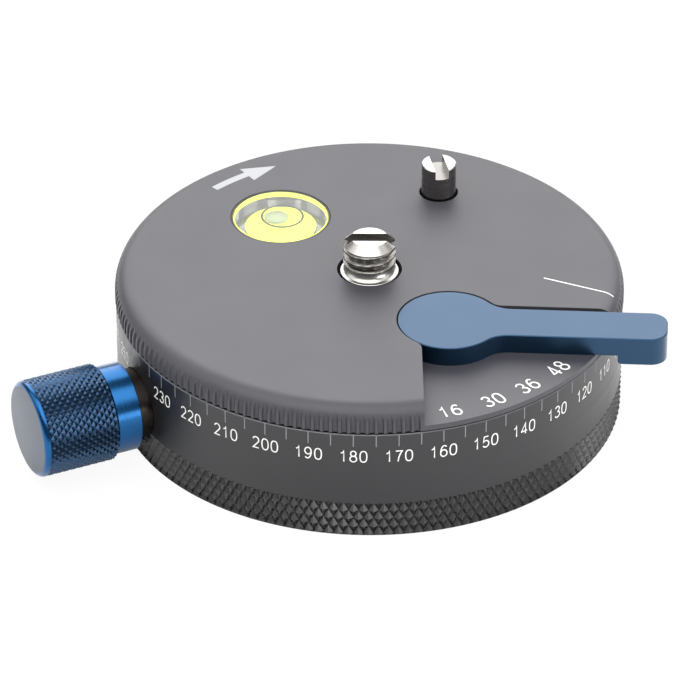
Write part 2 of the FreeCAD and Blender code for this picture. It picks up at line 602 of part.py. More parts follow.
def make_base():
    """The housing with its foot and degree band, the socket bush, spindle, disc and nut."""
    blank = turned("base_blank", (
        ("bush_hole", None),
        ("relief_inner", None),
        ("relief_slope_in", "relief_depth"),
        ("relief_slope_out", "relief_depth"),
        ("relief_outer", None),
        ("foot_face", None),
        ("foot_radius", "edge_break"),
        ("foot_radius", "foot_height"),
        ("band_radius", "foot_height"),
        ("band_radius", "band_edge"),
        ("band_face", "base_height"),
        ("wall_inner", "base_height"),
        ("wall_inner", "floor_top"),
        ("ledge_outer", "floor_top"),
        ("ledge_outer", "ledge_top"),
        ("ledge_inner", "ledge_top"),
        ("ledge_inner", "floor_top"),
        ("bush_hole", "floor_top"),
    ))
    passage = on_knob_axis(turned("clamp_passage", (
        (None, "shoe_face"),
        ("barrel_hole", "shoe_face"),
        ("barrel_hole", "spot_face"),
        ("spot_radius", "spot_face"),
        ("spot_radius", "boss_end"),
        (None, "boss_end"),
    )))
    housing = cut("base_housing", blank, passage, screw_holes["spindle_screws"],
                  screw_holes["index_disc_screws"])
    bush = turned("tripod_bush", (
        ("socket_radius", None),
        ("bush_outer", None),
        ("bush_outer", "floor_top"),
        ("collar_radius", "floor_top"),
        ("collar_radius", "collar_top"),
        ("bush_outer", "collar_top"),
        ("bush_outer", "socket_top"),
        ("socket_radius", "socket_top"),
    ))
    spindle_blank = turned("spindle_blank", (
        ("collar_clear", "floor_top"),
        ("spindle_flange", "floor_top"),
        ("spindle_flange", "flange_top"),
        ("spindle_radius", "flange_top"),
        ("spindle_radius", "spindle_shoulder"),
        ("spindle_thread", "spindle_shoulder"),
        ("spindle_thread", "spindle_top"),
        ("spindle_bore", "spindle_top"),
        ("spindle_bore", "collar_recess"),
        ("collar_clear", "collar_recess"),
    ))
    spindle = cut("pan_spindle", spindle_blank, screw_holes["spindle_screws"])
    nut_blank = turned("nut_blank", (
        ("nut_bore", "nut_bottom"),
        ("nut_radius", "nut_bottom"),
        ("nut_radius", "nut_top"),
        ("nut_bore", "nut_top"),
    ))
    key_profile = (
        (0, mm("nut_bottom") + mm("nut_thick") / 2),
        (mm("m_two"), mm("nut_bottom") + mm("nut_thick") / 2),
        (mm("m_two"), mm("nut_top") + 1),
        (0, mm("nut_top") + 1),
    )
    key_orbit = (mm("nut_radius") + mm("spindle_thread")) / 2
    key_holes = [turned_solid(key_profile, *polar(key_orbit, angle)) for angle in (0, 180)]
    nut = cut("spindle_nut", nut_blank, shape_item("key_holes", Part.makeCompound(key_holes)))
    return [housing, bush, spindle, nut]


def make_glide_rings():
    """The two slippery rings that carry the rotor up and down."""
    lower = tube("glide_ring_lower", "ring_inner", "hub_outer", "lower_ring_bottom",
                 "lower_ring_top")
    upper = tube("glide_ring_upper", "ring_inner", "upper_ring_outer", "upper_ring_bottom",
                 "upper_ring_top")
    return [lower, upper]


def pit_cutter(stops, travel):
    """The eight-sided pits of one click ring, phased so that a pit lies under the ball."""
    place = ball_place(travel)
    depth = (mm("ball_radius") + mm("pit_play")) * math.sqrt(2) / math.cos(math.pi / 8)
    apex_height = mm("disc_top") + mm("ball_radius") - mm("ball_drop") - depth
    mouth = mm("disc_top") + 1
    half = mouth - apex_height
    corners = []
    for corner in range(8):
        turn = math.radians(45 * corner)
        corners.append(FreeCAD.Vector(half * math.cos(turn), half * math.sin(turn), mouth))
    apex = FreeCAD.Vector(0, 0, apex_height)
    faces = [Part.Face(Part.makePolygon(corners + [corners[0]]))]
    for corner in range(8):
        after = corners[(corner + 1) % 8]
        faces.append(Part.Face(Part.makePolygon([apex, corners[corner], after, apex])))
    pit = Part.makeSolid(Part.makeShell(faces))
    pit.translate(place)
    pits = []
    for stop in range(stops):
        copy = pit.copy()
        copy.rotate(ORIGIN, Z_AXIS, 360.0 * stop / stops)
        pits.append(copy)
    return pits


def make_index_disc():
    """The fixed disc with its four rings of pits and its lower free track."""
    inner = mm("disc_inner")
    outer = mm("disc_outer")
    face = mm("disc_top")
    land = mm("land_top")
    first_ring = ball_place(CLICK_RINGS[0][1])
    pit_reach = mm("ball_radius") * math.sqrt(2) - mm("ball_radius") + mm("ball_drop")
    crest = math.hypot(first_ring.x, first_ring.y) + pit_reach + mm("pit_play")
    blank = turned_solid((
        (inner, mm("ledge_top")),
        (outer, mm("ledge_top")),
        (outer, land),
        (crest + mm("land_step"), land),
        (crest, face),
        (inner, face),
    ), 0, 0)
    pits = []
    for stops, travel in CLICK_RINGS:
        pits.extend(pit_cutter(stops, travel))
    pitted = shape_item("pitted_disc", blank.cut(pits))
    return [cut("index_disc", pitted, screw_holes["index_disc_screws"])]


# ---- rotor --------------------------------------------------------------------------------


def make_rotor():
    """The hub with its bearing bush and the brake drum, both screwed under the plate."""
    hub_blank = turned("hub_blank", (
        ("hub_bore", "hub_bottom"),
        ("hub_outer", "hub_bottom"),
        ("hub_outer", "hub_flange_bottom"),
        ("hub_flange", "hub_flange_bottom"),
        ("hub_flange", "plate_under"),
        ("hub_well", "plate_under"),
        ("hub_well", "hub_step"),
        ("hub_bore", "hub_step"),
    ))
    sweep = mm("ball_orbit") + mm("tube_outer") + 3 * mm("slot_gap")
    bay_bottom = mm("hub_flange_bottom") - 1
    bay = Part.makeCylinder(sweep, mm("plate_under") - bay_bottom + 1,
                            FreeCAD.Vector(PIVOT.x, PIVOT.y, bay_bottom))
    keep = Part.makeCylinder(mm("hub_outer"), mm("plate_top"))
    hub = cut("rotor_hub", hub_blank, shape_item("lever_bay", bay.cut(keep)),
              screw_holes["hub_screws"])
    bearing = tube("bearing_bush", "bush_run", "bearing_outer", "bearing_bottom", "bearing_top")
    drum_blank = turned("drum_blank", (
        ("drum_inner", "drum_bottom"),
        ("drum_outer", "drum_bottom"),
        ("drum_outer", "drum_flange_bottom"),
        ("drum_flange", "drum_flange_bottom"),
        ("drum_flange", "plate_under"),
        ("drum_inner", "plate_under"),
    ))
    drum = cut("brake_drum", drum_blank, screw_holes["drum_screws"])
    return [hub, bearing, drum]


def rounded(face, radius):
    """A flat outline with its inside corners rounded, and its outside corners kept."""
    return face.makeOffset2D(radius, 0).makeOffset2D(-radius, 0)


def arm_outline(head, reach, half, angle):
    """A round head with a straight arm that leaves it at an angle."""
    disc = Part.Face(Part.Wire(Part.makeCircle(head, PIVOT)))
    corners = [FreeCAD.Vector(0, -half, 0), FreeCAD.Vector(reach, -half, 0),
               FreeCAD.Vector(reach, half, 0), FreeCAD.Vector(0, half, 0)]
    arm = Part.Face(Part.makePolygon(corners + [corners[0]]))
    arm.rotate(ORIGIN, Z_AXIS, angle)
    arm.translate(PIVOT)
    return disc, arm


def pocket_outline():
    """The lever's pocket: its round head, and the sector that the arm sweeps."""
    head = mm("head_radius") + mm("head_gap")
    far = 2 * mm("plate_radius")
    rest = math.radians(mm("arm_angle"))
    last = math.radians(mm("arm_angle") - mm("last_stop"))
    back = mm("arm_width") / 2 + mm("back_gap")
    side = mm("arm_width") / 2 + mm("stop_gap")
    back_shift = FreeCAD.Vector(-back * math.sin(rest), back * math.cos(rest), 0)
    side_shift = FreeCAD.Vector(side * math.sin(last), -side * math.cos(last), 0)
    rest_way = FreeCAD.Vector(math.cos(rest), math.sin(rest), 0)
    last_way = FreeCAD.Vector(math.cos(last), math.sin(last), 0)
    middle = FreeCAD.Vector(math.cos((rest + last) / 2), math.sin((rest + last) / 2), 0)
    points = [PIVOT, PIVOT + side_shift, PIVOT + side_shift + last_way * far,
              PIVOT + middle * 2 * far, PIVOT + back_shift + rest_way * far,
              PIVOT + back_shift]
    sector = Part.Face(Part.makePolygon(points + [points[0]]))
    disc = Part.Face(Part.Wire(Part.makeCircle(head, PIVOT)))
    whole = disc.fuse(sector).removeSplitter().Faces[0]
    return rounded(whole, mm("pocket_round"))


def make_pocket():
    """The cutter for the lever's pocket, open at the rim and over the plate."""
    floor = mm("pocket_floor")
    solid = pocket_outline().extrude(FreeCAD.Vector(0, 0, mm("plate_top") - floor + 1))
    solid.translate(FreeCAD.Vector(0, 0, floor))
    return shape_item("lever_pocket", solid)


def make_tube_slot():
    """The arc slot through the pocket's floor in which the click tube travels."""
    inner = mm("ball_orbit") - mm("tube_outer") - mm("slot_gap")
    outer = mm("ball_orbit") + mm("tube_outer") + mm("slot_gap")
    low = mm("plate_under") - 1
    high = mm("pocket_floor") + 1
    start = mm("arm_angle") - 90 - mm("last_stop")
    points = [FreeCAD.Vector(radius, 0, height)
              for radius, height in ((inner, low), (outer, low), (outer, high), (inner, high))]
    face = Part.Face(Part.makePolygon(points + [points[0]]))
    arc = face.revolve(ORIGIN, Z_AXIS, mm("last_stop"))
    arc.rotate(ORIGIN, Z_AXIS, start)
    arc.translate(PIVOT)
    ends = []
    for travel in (0.0, mm("last_stop")):
        place = ball_place(travel)
        end = Part.makeCylinder((outer - inner) / 2, high - low,
                                FreeCAD.Vector(place.x, place.y, low))
        ends.append(end)
    return shape_item("tube_slot", arc.fuse(ends))


def make_serrations():
    """Straight grooves round the rim, outside the lever's pocket. They run out on the shoulder."""
    radius = mm("plate_radius")
    bottom = radius - mm("groove_depth")
    reach = radius + mm("groove_depth")
    spread = (mm("groove_mouth") - mm("groove_floor")) / 2
    half_floor = mm("groove_floor") / 2
    half_reach = half_floor + 2 * spread
    low = mm("plate_lower") - 1
    corners = [FreeCAD.Vector(bottom, -half_floor, low), FreeCAD.Vector(bottom, half_floor, low),
               FreeCAD.Vector(reach, half_reach, low), FreeCAD.Vector(reach, -half_reach, low)]
    face = Part.Face(Part.makePolygon(corners + [corners[0]]))
    groove = face.extrude(FreeCAD.Vector(0, 0, mm("plate_top") - low + 1))
    count = int(mm("groove_count"))
    pocket = pocket_outline()
    grooves = []
    for index in range(count):
        angle = 360.0 * index / count
        middle = Part.Vertex(*polar(radius, angle), 0)
        if pocket.distToShape(middle)[0] > mm("groove_mouth") / 2:
            copy = groove.copy()
            copy.rotate(ORIGIN, Z_AXIS, angle)
            grooves.append(copy)
    return grooves


def make_plate():
    """The turning plate with its shoulder, serrated rim, wells, pocket and screw holes."""
    blank = turned("plate_blank", (
        ("lock_nut_well", "plate_under"),
        ("spigot_radius", "plate_under"),
        ("spigot_radius", "plate_lower"),
        ("rim_face", "plate_lower"),
        ("plate_radius", "rim_edge"),
        ("plate_radius", "plate_top"),
        ("screw_well", "plate_top"),
        ("screw_well", "screw_well_floor"),
        ("screw_hole", "screw_well_floor"),
        ("screw_hole", "lock_nut_seat"),
        ("lock_nut_well", "lock_nut_seat"),
    ))
    round_edge(blank, "shoulder", mm("plate_radius"), mm("plate_top"))
    level_well = cylinder("level_well", "level_well", "level_floor", "screw_top",
                          LEVEL_X, LEVEL_Y)
    pin_hole = cylinder("pin_hole", "pin_hole", "drum_flange_bottom", "screw_top",
                        PIN_X, PIN_Y)
    pin_well = cylinder("pin_well", "pin_well", "pin_well_floor", "screw_top", PIN_X, PIN_Y)
    pivot_hole = cylinder("pivot_hole", "bush_out", "drum_flange_bottom", "lever_bottom",
                          PIVOT.x, PIVOT.y)
    pivot_hole.setExpression("Radius", "Sizes.bush_out + Sizes.seat")
    bored = cut("plate_bored", blank, make_pocket(), make_tube_slot(), level_well, pin_hole,
                pin_well, pivot_hole, screw_holes["hub_screws"], screw_holes["drum_screws"])
    plate = shape_item("top_plate", bored.Shape.cut(make_serrations()))
    bush = tube("lever_bush", "bush_inner", "bush_out", "plate_under", "pocket_floor",
                PIVOT.x, PIVOT.y)
    return [plate, bush]


def make_camera_screw():
    """The slotted camera screw with its disc and relief, and its lock nut."""
    blank = turned("screw_blank", (
        (None, "screw_bottom"),
        ("screw_radius", "screw_bottom"),
        ("screw_radius", "screw_disc_bottom"),
        ("screw_disc", "screw_disc_bottom"),
        ("screw_disc", "screw_disc_top"),
        ("screw_neck", "screw_neck_top"),
        ("screw_radius", "screw_thread_start"),
        ("screw_radius", "screw_cyl_top"),
        ("screw_tip", "screw_top"),
        (None, "screw_top"),
    ))
    slot = slot_box(mm("screw_slot"), mm("screw_slot_depth"), 2 * mm("screw_radius"),
                    mm("screw_top"), mm("screw_slot_angle"), 0, 0)
    screw = cut("camera_screw", blank, shape_item("screw_slot_cutter", slot))
    corner = mm("lock_nut_flats") / 2 / math.cos(math.pi / 6)
    points = []
    for index in range(7):
        x, y = polar(corner, 60 * index)
        points.append(FreeCAD.Vector(x, y, mm("lock_nut_bottom")))
    hexagon = Part.Face(Part.makePolygon(points))
    height = mm("lock_nut_top") - mm("lock_nut_bottom")
    nut_blank = hexagon.extrude(FreeCAD.Vector(0, 0, height))
    bore = Part.makeCylinder(mm("screw_hole"), height,
                             FreeCAD.Vector(0, 0, mm("lock_nut_bottom")))
    nut = shape_item("camera_screw_nut", nut_blank.cut(bore))
    return [screw, nut]


def make_pin():
    """The slotted anti-twist pin, which screws down into the plate, and its stop ring."""
    blank = turned("pin_blank", (
        (None, "pin_bottom"),
        ("pin_shank", "pin_bottom"),
        ("pin_shank", "stop_groove_bottom"),
        ("stop_groove", "stop_groove_bottom"),
        ("stop_groove", "stop_groove_top"),
        ("pin_shank", "stop_groove_top"),
        ("pin_shank", "pin_head_start"),
        ("pin_radius", "pin_head_start"),
        ("pin_radius", "pin_cyl_top"),
        ("pin_tip", "pin_top"),
        (None, "pin_top"),
    ))
    blank.Placement.Base = FreeCAD.Vector(PIN_X, PIN_Y, 0)
    slot = slot_box(mm("pin_slot"), mm("pin_slot_depth"), 2 * mm("pin_radius"),
                    mm("pin_top"), mm("pin_slot_angle"), PIN_X, PIN_Y)
    pin = cut("anti_twist_pin", blank, shape_item("pin_slot_cutter", slot))
    ring = tube("pin_stop_ring", "stop_ring_bore", "stop_ring_radius", "stop_ring_bottom",
                "stop_ring_top", PIN_X, PIN_Y)
    return [pin, ring]


def dome(radius, edge, top):
    """A low spherical cap over a flat circle."""
    rise = top - edge
    sphere_radius = (radius ** 2 + rise ** 2) / (2 * rise)
    sphere = Part.makeSphere(sphere_radius, FreeCAD.Vector(0, 0, top - sphere_radius))
    column = Part.makeCylinder(radius, rise + 1, FreeCAD.Vector(0, 0, edge))
    return sphere.common(column)


def chamber(slack):
    """The vial's chamber: a short cylinder under a domed roof."""
    radius = mm("vial_inner") - slack
    bottom = mm("chamber_bottom") + slack
    edge = mm("chamber_edge") - slack
    top = mm("chamber_top") - slack
    body = Part.makeCylinder(radius, edge - bottom, FreeCAD.Vector(0, 0, bottom))
    return body.fuse(dome(radius, edge, top)).removeSplitter()


def make_level():
    """The bull's-eye level: a thin cup, a clear vial and the fluid in it."""
    cup = turned("level_cup", (
        (None, "level_floor"),
        ("cup_outer", "level_floor"),
        ("cup_outer", "level_top"),
        ("cup_inner", "level_top"),
        ("cup_inner", "cup_base"),
        (None, "cup_base"),
    ))
    height = mm("level_top") - mm("vial_bottom")
    block = Part.makeCylinder(mm("vial_outer"), height,
                              FreeCAD.Vector(0, 0, mm("vial_bottom")))
    vial = shape_item("level_vial", block.cut(chamber(0)))
    fluid = shape_item("level_fluid", chamber(mm("gap")))
    for item in (cup, vial, fluid):
        item.Placement.Base = FreeCAD.Vector(LEVEL_X, LEVEL_Y, 0)
    return [cup, vial, fluid]


# ---- lever --------------------------------------------------------------------------------


def lever_blank():
    """The lever's plan, raised to its thickness, with its finger lip and broken edges."""
    disc, arm = arm_outline(mm("head_radius"), mm("arm_length"), mm("arm_width") / 2,
                            mm("arm_angle"))
    plan = rounded(disc.fuse(arm).removeSplitter().Faces[0], mm("neck_round"))
    blunt = plan.makeOffset2D(-mm("end_round"), 0).makeOffset2D(mm("end_round"), 0)
    body = blunt.extrude(FreeCAD.Vector(0, 0, mm("lever_thick")))
    body.translate(FreeCAD.Vector(0, 0, mm("lever_bottom")))
    upper = [edge for edge in body.Edges
             if edge.BoundBox.ZMin > mm("lever_top") - 1e-4]
    body = body.makeChamfer(mm("lever_break"), upper)
    lip_box = Part.makeBox(mm("lip_length"), 2 * mm("arm_width"), mm("lip_depth") - 1)
    lip_box.translate(FreeCAD.Vector(mm("arm_length") - mm("lip_length"), -mm("arm_width"),
                                     mm("lever_top") - mm("lip_depth")))
    inner_edge = [edge for edge in lip_box.Edges
                  if edge.BoundBox.XMax < mm("arm_length") - mm("lip_length") + 1e-4
                  and edge.BoundBox.ZMax < mm("lever_top") - mm("lip_depth") + 1e-4]
    lip_box = lip_box.makeFillet(mm("lip_round"), inner_edge)
    lip_box.rotate(ORIGIN, Z_AXIS, mm("arm_angle"))
    lip_box.translate(PIVOT)
    column = blunt.extrude(FreeCAD.Vector(0, 0, mm("lip_depth") - 1))
    column.translate(FreeCAD.Vector(0, 0, mm("lever_top") - mm("lip_depth")))
    return body.fuse(column.common(lip_box)).removeSplitter()


def make_lever():
    """The click-stop lever with its pivot spigot, washer and clip."""
    spigot = turned("spigot_blank", (
        (None, "spigot_low"),
        ("spigot_pin", "spigot_low"),
        ("spigot_pin", "clip_bottom"),
        ("clip_seat", "clip_bottom"),
        ("clip_seat", "clip_top"),
        ("spigot_pin", "clip_top"),
        ("spigot_pin", "lever_bottom"),
        (None, "lever_bottom"),
    ))
    spigot.Placement.Base = PIVOT
    whole = fuse("lever_solid", shape_item("lever_blank", lever_blank()), spigot)
    place = ball_place(0)
    socket = cylinder("tube_socket", "tube_outer", "lever_bottom", "tube_top",
                      place.x, place.y)
    socket.setExpression("Radius", "Sizes.tube_outer + Sizes.seat")
    socket.setExpression("Height", "Sizes.tube_depth + Sizes.gap")
    lever = cut("selector_lever", whole, socket)
    washer = tube("lever_washer", "bush_inner", "clip_radius", "washer_bottom", "washer_top",
                  PIVOT.x, PIVOT.y)
    clip_blank = tube("clip_blank", "clip_seat", "clip_radius", "clip_bottom", "clip_top",
                      PIVOT.x, PIVOT.y)
    mouth = Part.makeBox(mm("clip_radius") + 1, mm("clip_seat") * 2, 2 * mm("clip_thick"))
    mouth.translate(PIVOT + FreeCAD.Vector(0, -mm("clip_seat"), mm("clip_bottom")
                                           - mm("clip_thick") / 2))
    clip = cut("lever_clip", clip_blank, shape_item("clip_mouth", mouth))
    return [lever, washer, clip]


def spring_solid(turns, wire, radius, bottom, top, place):
    """A square-wire compression spring on a vertical axis."""
    pitch = (top - bottom - wire) / turns
    helix = Part.makeHelix(pitch, pitch * turns, radius)
    half = wire / 2
    corners = [FreeCAD.Vector(radius - half, 0, -half), FreeCAD.Vector(radius + half, 0, -half),
               FreeCAD.Vector(radius + half, 0, half), FreeCAD.Vector(radius - half, 0, half)]
    section = Part.makePolygon(corners + [corners[0]])
    spring = Part.Wire(helix).makePipeShell([section], True, True)
    spring.translate(place + FreeCAD.Vector(0, 0, bottom + half))
    return spring


def make_click_stop():
    """The click tube in the lever, its spring and its ball."""
    place = ball_place(0)
    tube_body = turned("detent_tube", (
        ("tube_bore", "tube_bottom"),
        ("tube_outer", "tube_bottom"),
        ("tube_outer", "tube_top"),
        (None, "tube_top"),
        (None, "tube_roof_under"),
        ("tube_bore", "tube_roof_under"),
    ))
    tube_body.Placement.Base = place
    ball = doc.addObject("Part::Sphere", "detent_ball")
    ball.Label = "detent_ball"
    bind(ball, "Radius", "ball_radius")
    ball.Placement.Base = place
    bind(ball, "Placement.Base.z", "ball_height")
    low = mm("ball_height") + mm("ball_radius") + mm("seat")
    high = mm("tube_roof_under") - mm("seat")
    radius = mm("tube_bore") - 2 * mm("gap") - mm("spring_wire") / 2
    solid = spring_solid(mm("spring_turns"), mm("spring_wire"), radius, low, high, place)
    spring = shape_item("detent_spring", solid)
    return [tube_body, spring, ball]


# ---- clamp --------------------------------------------------------------------------------


def make_clamp():
    """The clamp bush in the base, the brake shoe, the stud and the knob."""
    bush = on_knob_axis(turned("clamp_bush", (
        ("bush_bore", "bush_inner_end"),
        ("bush_barrel", "bush_inner_end"),
        ("bush_barrel", "boss_start"),
        ("boss_radius", "boss_start"),
        ("boss_radius", "boss_end"),
        ("bush_bore", "boss_end"),
    )))
    stud = on_knob_axis(turned("clamp_stud", (
        (None, "stud_tip_end"),
        ("stud_tip", "stud_tip_end"),
        ("stud_tip", "stud_step"),
        ("stud_radius", "stud_step"),
        ("stud_radius", "stud_end"),
        (None, "stud_end"),
    )))
    knob = turned("clamp_knob", (
        ("stud_hole", "neck_start"),
        ("neck_radius", "neck_start"),
        ("neck_radius", "grip_start"),
        ("grip_edge", "grip_start"),
        ("knob_radius", "grip_chamfer"),
        ("knob_radius", "knob_end"),
        (None, "knob_end"),
        (None, "stud_hole_end"),
        ("stud_hole", "stud_hole_end"),
    ))
    round_edge(knob, "knob_round", mm("knob_radius"), mm("knob_end"))
    on_knob_axis(knob)
    shoe_blank = on_knob_axis(turned("shoe_blank", (
        (None, "drum_outer"),
        ("shoe_radius", "drum_outer"),
        ("shoe_radius", "shoe_back"),
        ("tip_hole", "shoe_back"),
        ("tip_hole", "tip_floor"),
        (None, "tip_floor"),
    )))
    hollow = cylinder("shoe_hollow", "shoe_face", "floor_top", "base_height")
    shoe = cut("brake_shoe", shoe_blank, hollow)
    return [bush, stud, knob, shoe]


def make_all():
    """Every sub-part of the head."""
    parts = make_base() + make_glide_rings() + make_index_disc() + make_rotor()
    parts += make_plate() + make_camera_screw() + make_pin() + make_level()
    parts += make_lever() + make_click_stop() + make_clamp()
    parts += [screws[name] for name, _, _, _ in SCREW_SETS]
    return parts


def check_document():
    """Stops if any object of the document failed."""
    for item in doc.Objects:
        state = [word for word in item.State if word in ("Invalid", "Error")]
        if state:
            raise RuntimeError("%s failed: %s" % (item.Label, state))


def write_parts(parts):
    """Writes each sub-part as parts/NAME.step."""
    for part in parts:
        if part.Shape.isNull() or not part.Shape.isValid():
            raise RuntimeError("%s has a bad shape" % part.Label)
    os.makedirs("parts", exist_ok=True)
    for part in parts:
        part.Shape.exportStep(os.path.join("parts", part.Label + ".step"))


sub_parts = make_all()
doc.recompute()
check_document()
write_parts(sub_parts)
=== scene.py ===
import json
import math

import bmesh
import bpy
import numpy as np
from bpy.props import FloatProperty, FloatVectorProperty, IntProperty, PointerProperty
from mathutils import Matrix, Vector


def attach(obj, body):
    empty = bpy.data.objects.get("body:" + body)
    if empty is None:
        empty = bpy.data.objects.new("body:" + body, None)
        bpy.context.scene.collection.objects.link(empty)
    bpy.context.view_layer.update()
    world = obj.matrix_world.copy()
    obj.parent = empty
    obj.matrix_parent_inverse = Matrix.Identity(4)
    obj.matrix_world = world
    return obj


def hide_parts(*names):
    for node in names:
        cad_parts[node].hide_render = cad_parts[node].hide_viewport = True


bl_info = {
    "name": "Panoramic Tripod Head",
    "version": (1, 0, 0),
    "blender": (4, 5, 0),
    "location": "View3D > Sidebar > Head",
    "description": "Builds the visible pieces of a panoramic tripod head round its fixed frame",
    "category": "Add Mesh",
}

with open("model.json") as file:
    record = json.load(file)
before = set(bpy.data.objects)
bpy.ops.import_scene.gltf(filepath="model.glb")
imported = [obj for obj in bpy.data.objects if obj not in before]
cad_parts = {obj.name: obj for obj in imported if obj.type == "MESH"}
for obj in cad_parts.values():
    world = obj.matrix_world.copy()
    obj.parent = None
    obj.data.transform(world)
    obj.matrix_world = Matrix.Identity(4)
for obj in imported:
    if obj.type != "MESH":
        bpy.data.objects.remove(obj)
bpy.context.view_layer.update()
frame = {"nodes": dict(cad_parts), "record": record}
NODES = frame["nodes"]

MM = 0.001
TURN = 2 * math.pi
SQUARE = ((-1, -1), (1, -1), (1, 1), (-1, 1))

# Places in millimetres and degrees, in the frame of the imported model.
KNOB_ANGLE = -151.6
KNOB_HEIGHT = 10.3
PIN_PLACE = (11.109, 27.220)
LEVEL_PLACE = (-17.307, 16.772)
PIVOT = (15.2, -15.8)
# The lever's direction at rest, and how far round it turns to its last click stop.
ARM_ANGLE = 0.5
LAST_STOP = 86.0
# The lever's pocket: its floor, and the part of the rim that it cuts, as angles below +X.
POCKET_FLOOR = 22.7
POCKET_SPAN = (12.4, 75.1)
# Each click-stop number and its direction.
STEPS = ((48, -35.15), (36, -45.75), (30, -55.9), (16, -67.25))


def linear(colour):
    """Turns an sRGB hex colour into the linear values that a shader takes."""
    srgb = np.array([int(colour[start:start + 2], 16) for start in (1, 3, 5)]) / 255.0
    values = np.where(srgb <= 0.04045, srgb / 12.92, ((srgb + 0.055) / 1.055) ** 2.4)
    return (*values.tolist(), 1.0)


def length(name, millimetres, description):
    """A length property whose default is given in millimetres."""
    return FloatProperty(name=name, description=description, default=millimetres * MM, min=0.0,
                         precision=5, subtype="DISTANCE", unit="LENGTH")


def colour(name, value, description):
    """A colour property whose default is given as sRGB hex."""
    return FloatVectorProperty(name=name, description=description, default=linear(value)[:3],
                               min=0.0, max=1.0, size=3, subtype="COLOR")


class HeadSizes(bpy.types.PropertyGroup):
    """Sizes of the visible pieces."""

    foot_radius: length("Foot radius", 46.0, "Crest of the knurled foot")
    foot_height: length("Foot height", 6.7, "Height of the knurled foot")
    foot_knurl: length("Foot knurl depth", 0.62, "Depth of the grooves in the foot")
    band_radius: length("Band radius", 45.86, "Band that carries the scale")
    base_height: length("Base height", 21.3, "Top edge of the degree band")
    plate_radius: length("Plate radius", 46.0, "Plate over its serrations")
    plate_top: length("Camera seat", 26.5, "Height of the plate's top")
    plate_shoulder: length("Plate shoulder", 3.3, "Radius of the rim's shoulder")
    groove_depth: length("Groove depth", 0.55, "Depth of the rim's serrations")
    grooves: IntProperty(name="Grooves", description="Serrations of the rim", default=180, min=12)
    edge_break: length("Edge break", 0.05, "Chamfer round the openings")
    knob_radius: length("Knob radius", 8.89, "Crest of the clamp knob's knurl")
    knob_end: length("Knob end", 67.0, "Pan axis to the knob's end")
    knob_knurl: length("Knob knurl depth", 0.36, "Depth of the grooves in the knob")
    screw_radius: length("Camera screw radius", 4.7625, "Crest of its thread")
    screw_top: length("Camera screw top", 33.2, "Height of its tip")
    thread_pitch: length("Thread pitch", 1.5875, "Pitch of screw and socket")
    number_height: length("Number height", 2.4, "Height of the degree numbers")
    step_height: length("Step number height", 3.2, "Height of the click-stop numbers")
    print_lift: length("Print thickness", 0.02, "How far the marks stand proud")
    print_root: length("Print root", 0.01, "How far the marks reach in")


class HeadColours(bpy.types.PropertyGroup):
    """Colours of the finishes."""

    black: colour("Black anodising", "#1A1A1D", "Turned base and knurled foot")
    blasted: colour("Blasted anodising", "#38373D", "Turning plate")
    blue: colour("Turned blue anodising", "#0A4C7E", "Clamp knob")
    blasted_blue: colour("Blasted blue anodising", "#073452", "Selector lever")
    fluid: colour("Level fluid", "#EEF95C", "Fluid of the level")
    ink: colour("White marks", "#DEDEDB", "Degree and click-stop numbers")
    etched: colour("Etched marks", "#75767A", "Degree lines")


# ---- surfaces ----


def solid(grid, closed=True, other_diagonal=False):
    """Vertices and outward triangles of a closed surface given as rows of points.

    Each row runs round. The rows run round too, or end in a fan to the middle of the first
    and of the last row. Each quad is split along one diagonal or, where asked, the other.
    """
    rows, columns = grid.shape[:2]
    index = np.arange(rows * columns).reshape(rows, columns)
    lower = index if closed else index[:-1]
    upper = np.roll(index, -1, axis=0) if closed else index[1:]
    a, b = lower, np.roll(lower, -1, axis=1)
    c, d = np.roll(upper, -1, axis=1), upper
    first = np.stack([a, b, np.where(other_diagonal, d, c)], -1)
    second = np.stack([np.where(other_diagonal, b, a), c, d], -1)
    vertices = grid.reshape(-1, 3)
    triangles = np.concatenate([first.reshape(-1, 3), second.reshape(-1, 3)])
    if not closed:
        bottom, top, middle = index[0], index[-1], np.full(columns, rows * columns)
        vertices = np.concatenate([vertices, [grid[0].mean(axis=0), grid[-1].mean(axis=0)]])
        triangles = np.concatenate([
            triangles, np.stack([middle, np.roll(bottom, -1), bottom], -1),
            np.stack([middle + 1, top, np.roll(top, -1)], -1)])
    corners = vertices[triangles]
    volume = np.einsum("ij,ij->i", corners[:, 0], np.cross(corners[:, 1], corners[:, 2])).sum()
    return vertices, triangles if volume > 0 else triangles[:, ::-1]


def joined(solids):
    """Several solids as one set of vertices and triangles."""
    vertices, faces = zip(*solids)
    starts = np.cumsum([0, *map(len, vertices[:-1])])
    return (np.concatenate(vertices),
            np.concatenate([corners + start for corners, start in zip(faces, starts)]))


def put(name, shape, sharp=30.0):
    """Puts a solid in the scene, smooth across edges flatter than the sharp angle."""
    vertices, triangles = shape
    mesh = bpy.data.meshes.new(name)
    mesh.from_pydata(vertices.tolist(), [], triangles.tolist())
    piece = bpy.data.objects.new(name, mesh)
    bpy.context.scene.collection.objects.link(piece)
    shade(piece, sharp)
    return piece


def shade(piece, sharp):
    """Shades a piece smooth, with creases where faces meet at more than an angle."""
    piece.data.shade_smooth()
    piece.data.set_sharp_from_angle(angle=math.radians(sharp))


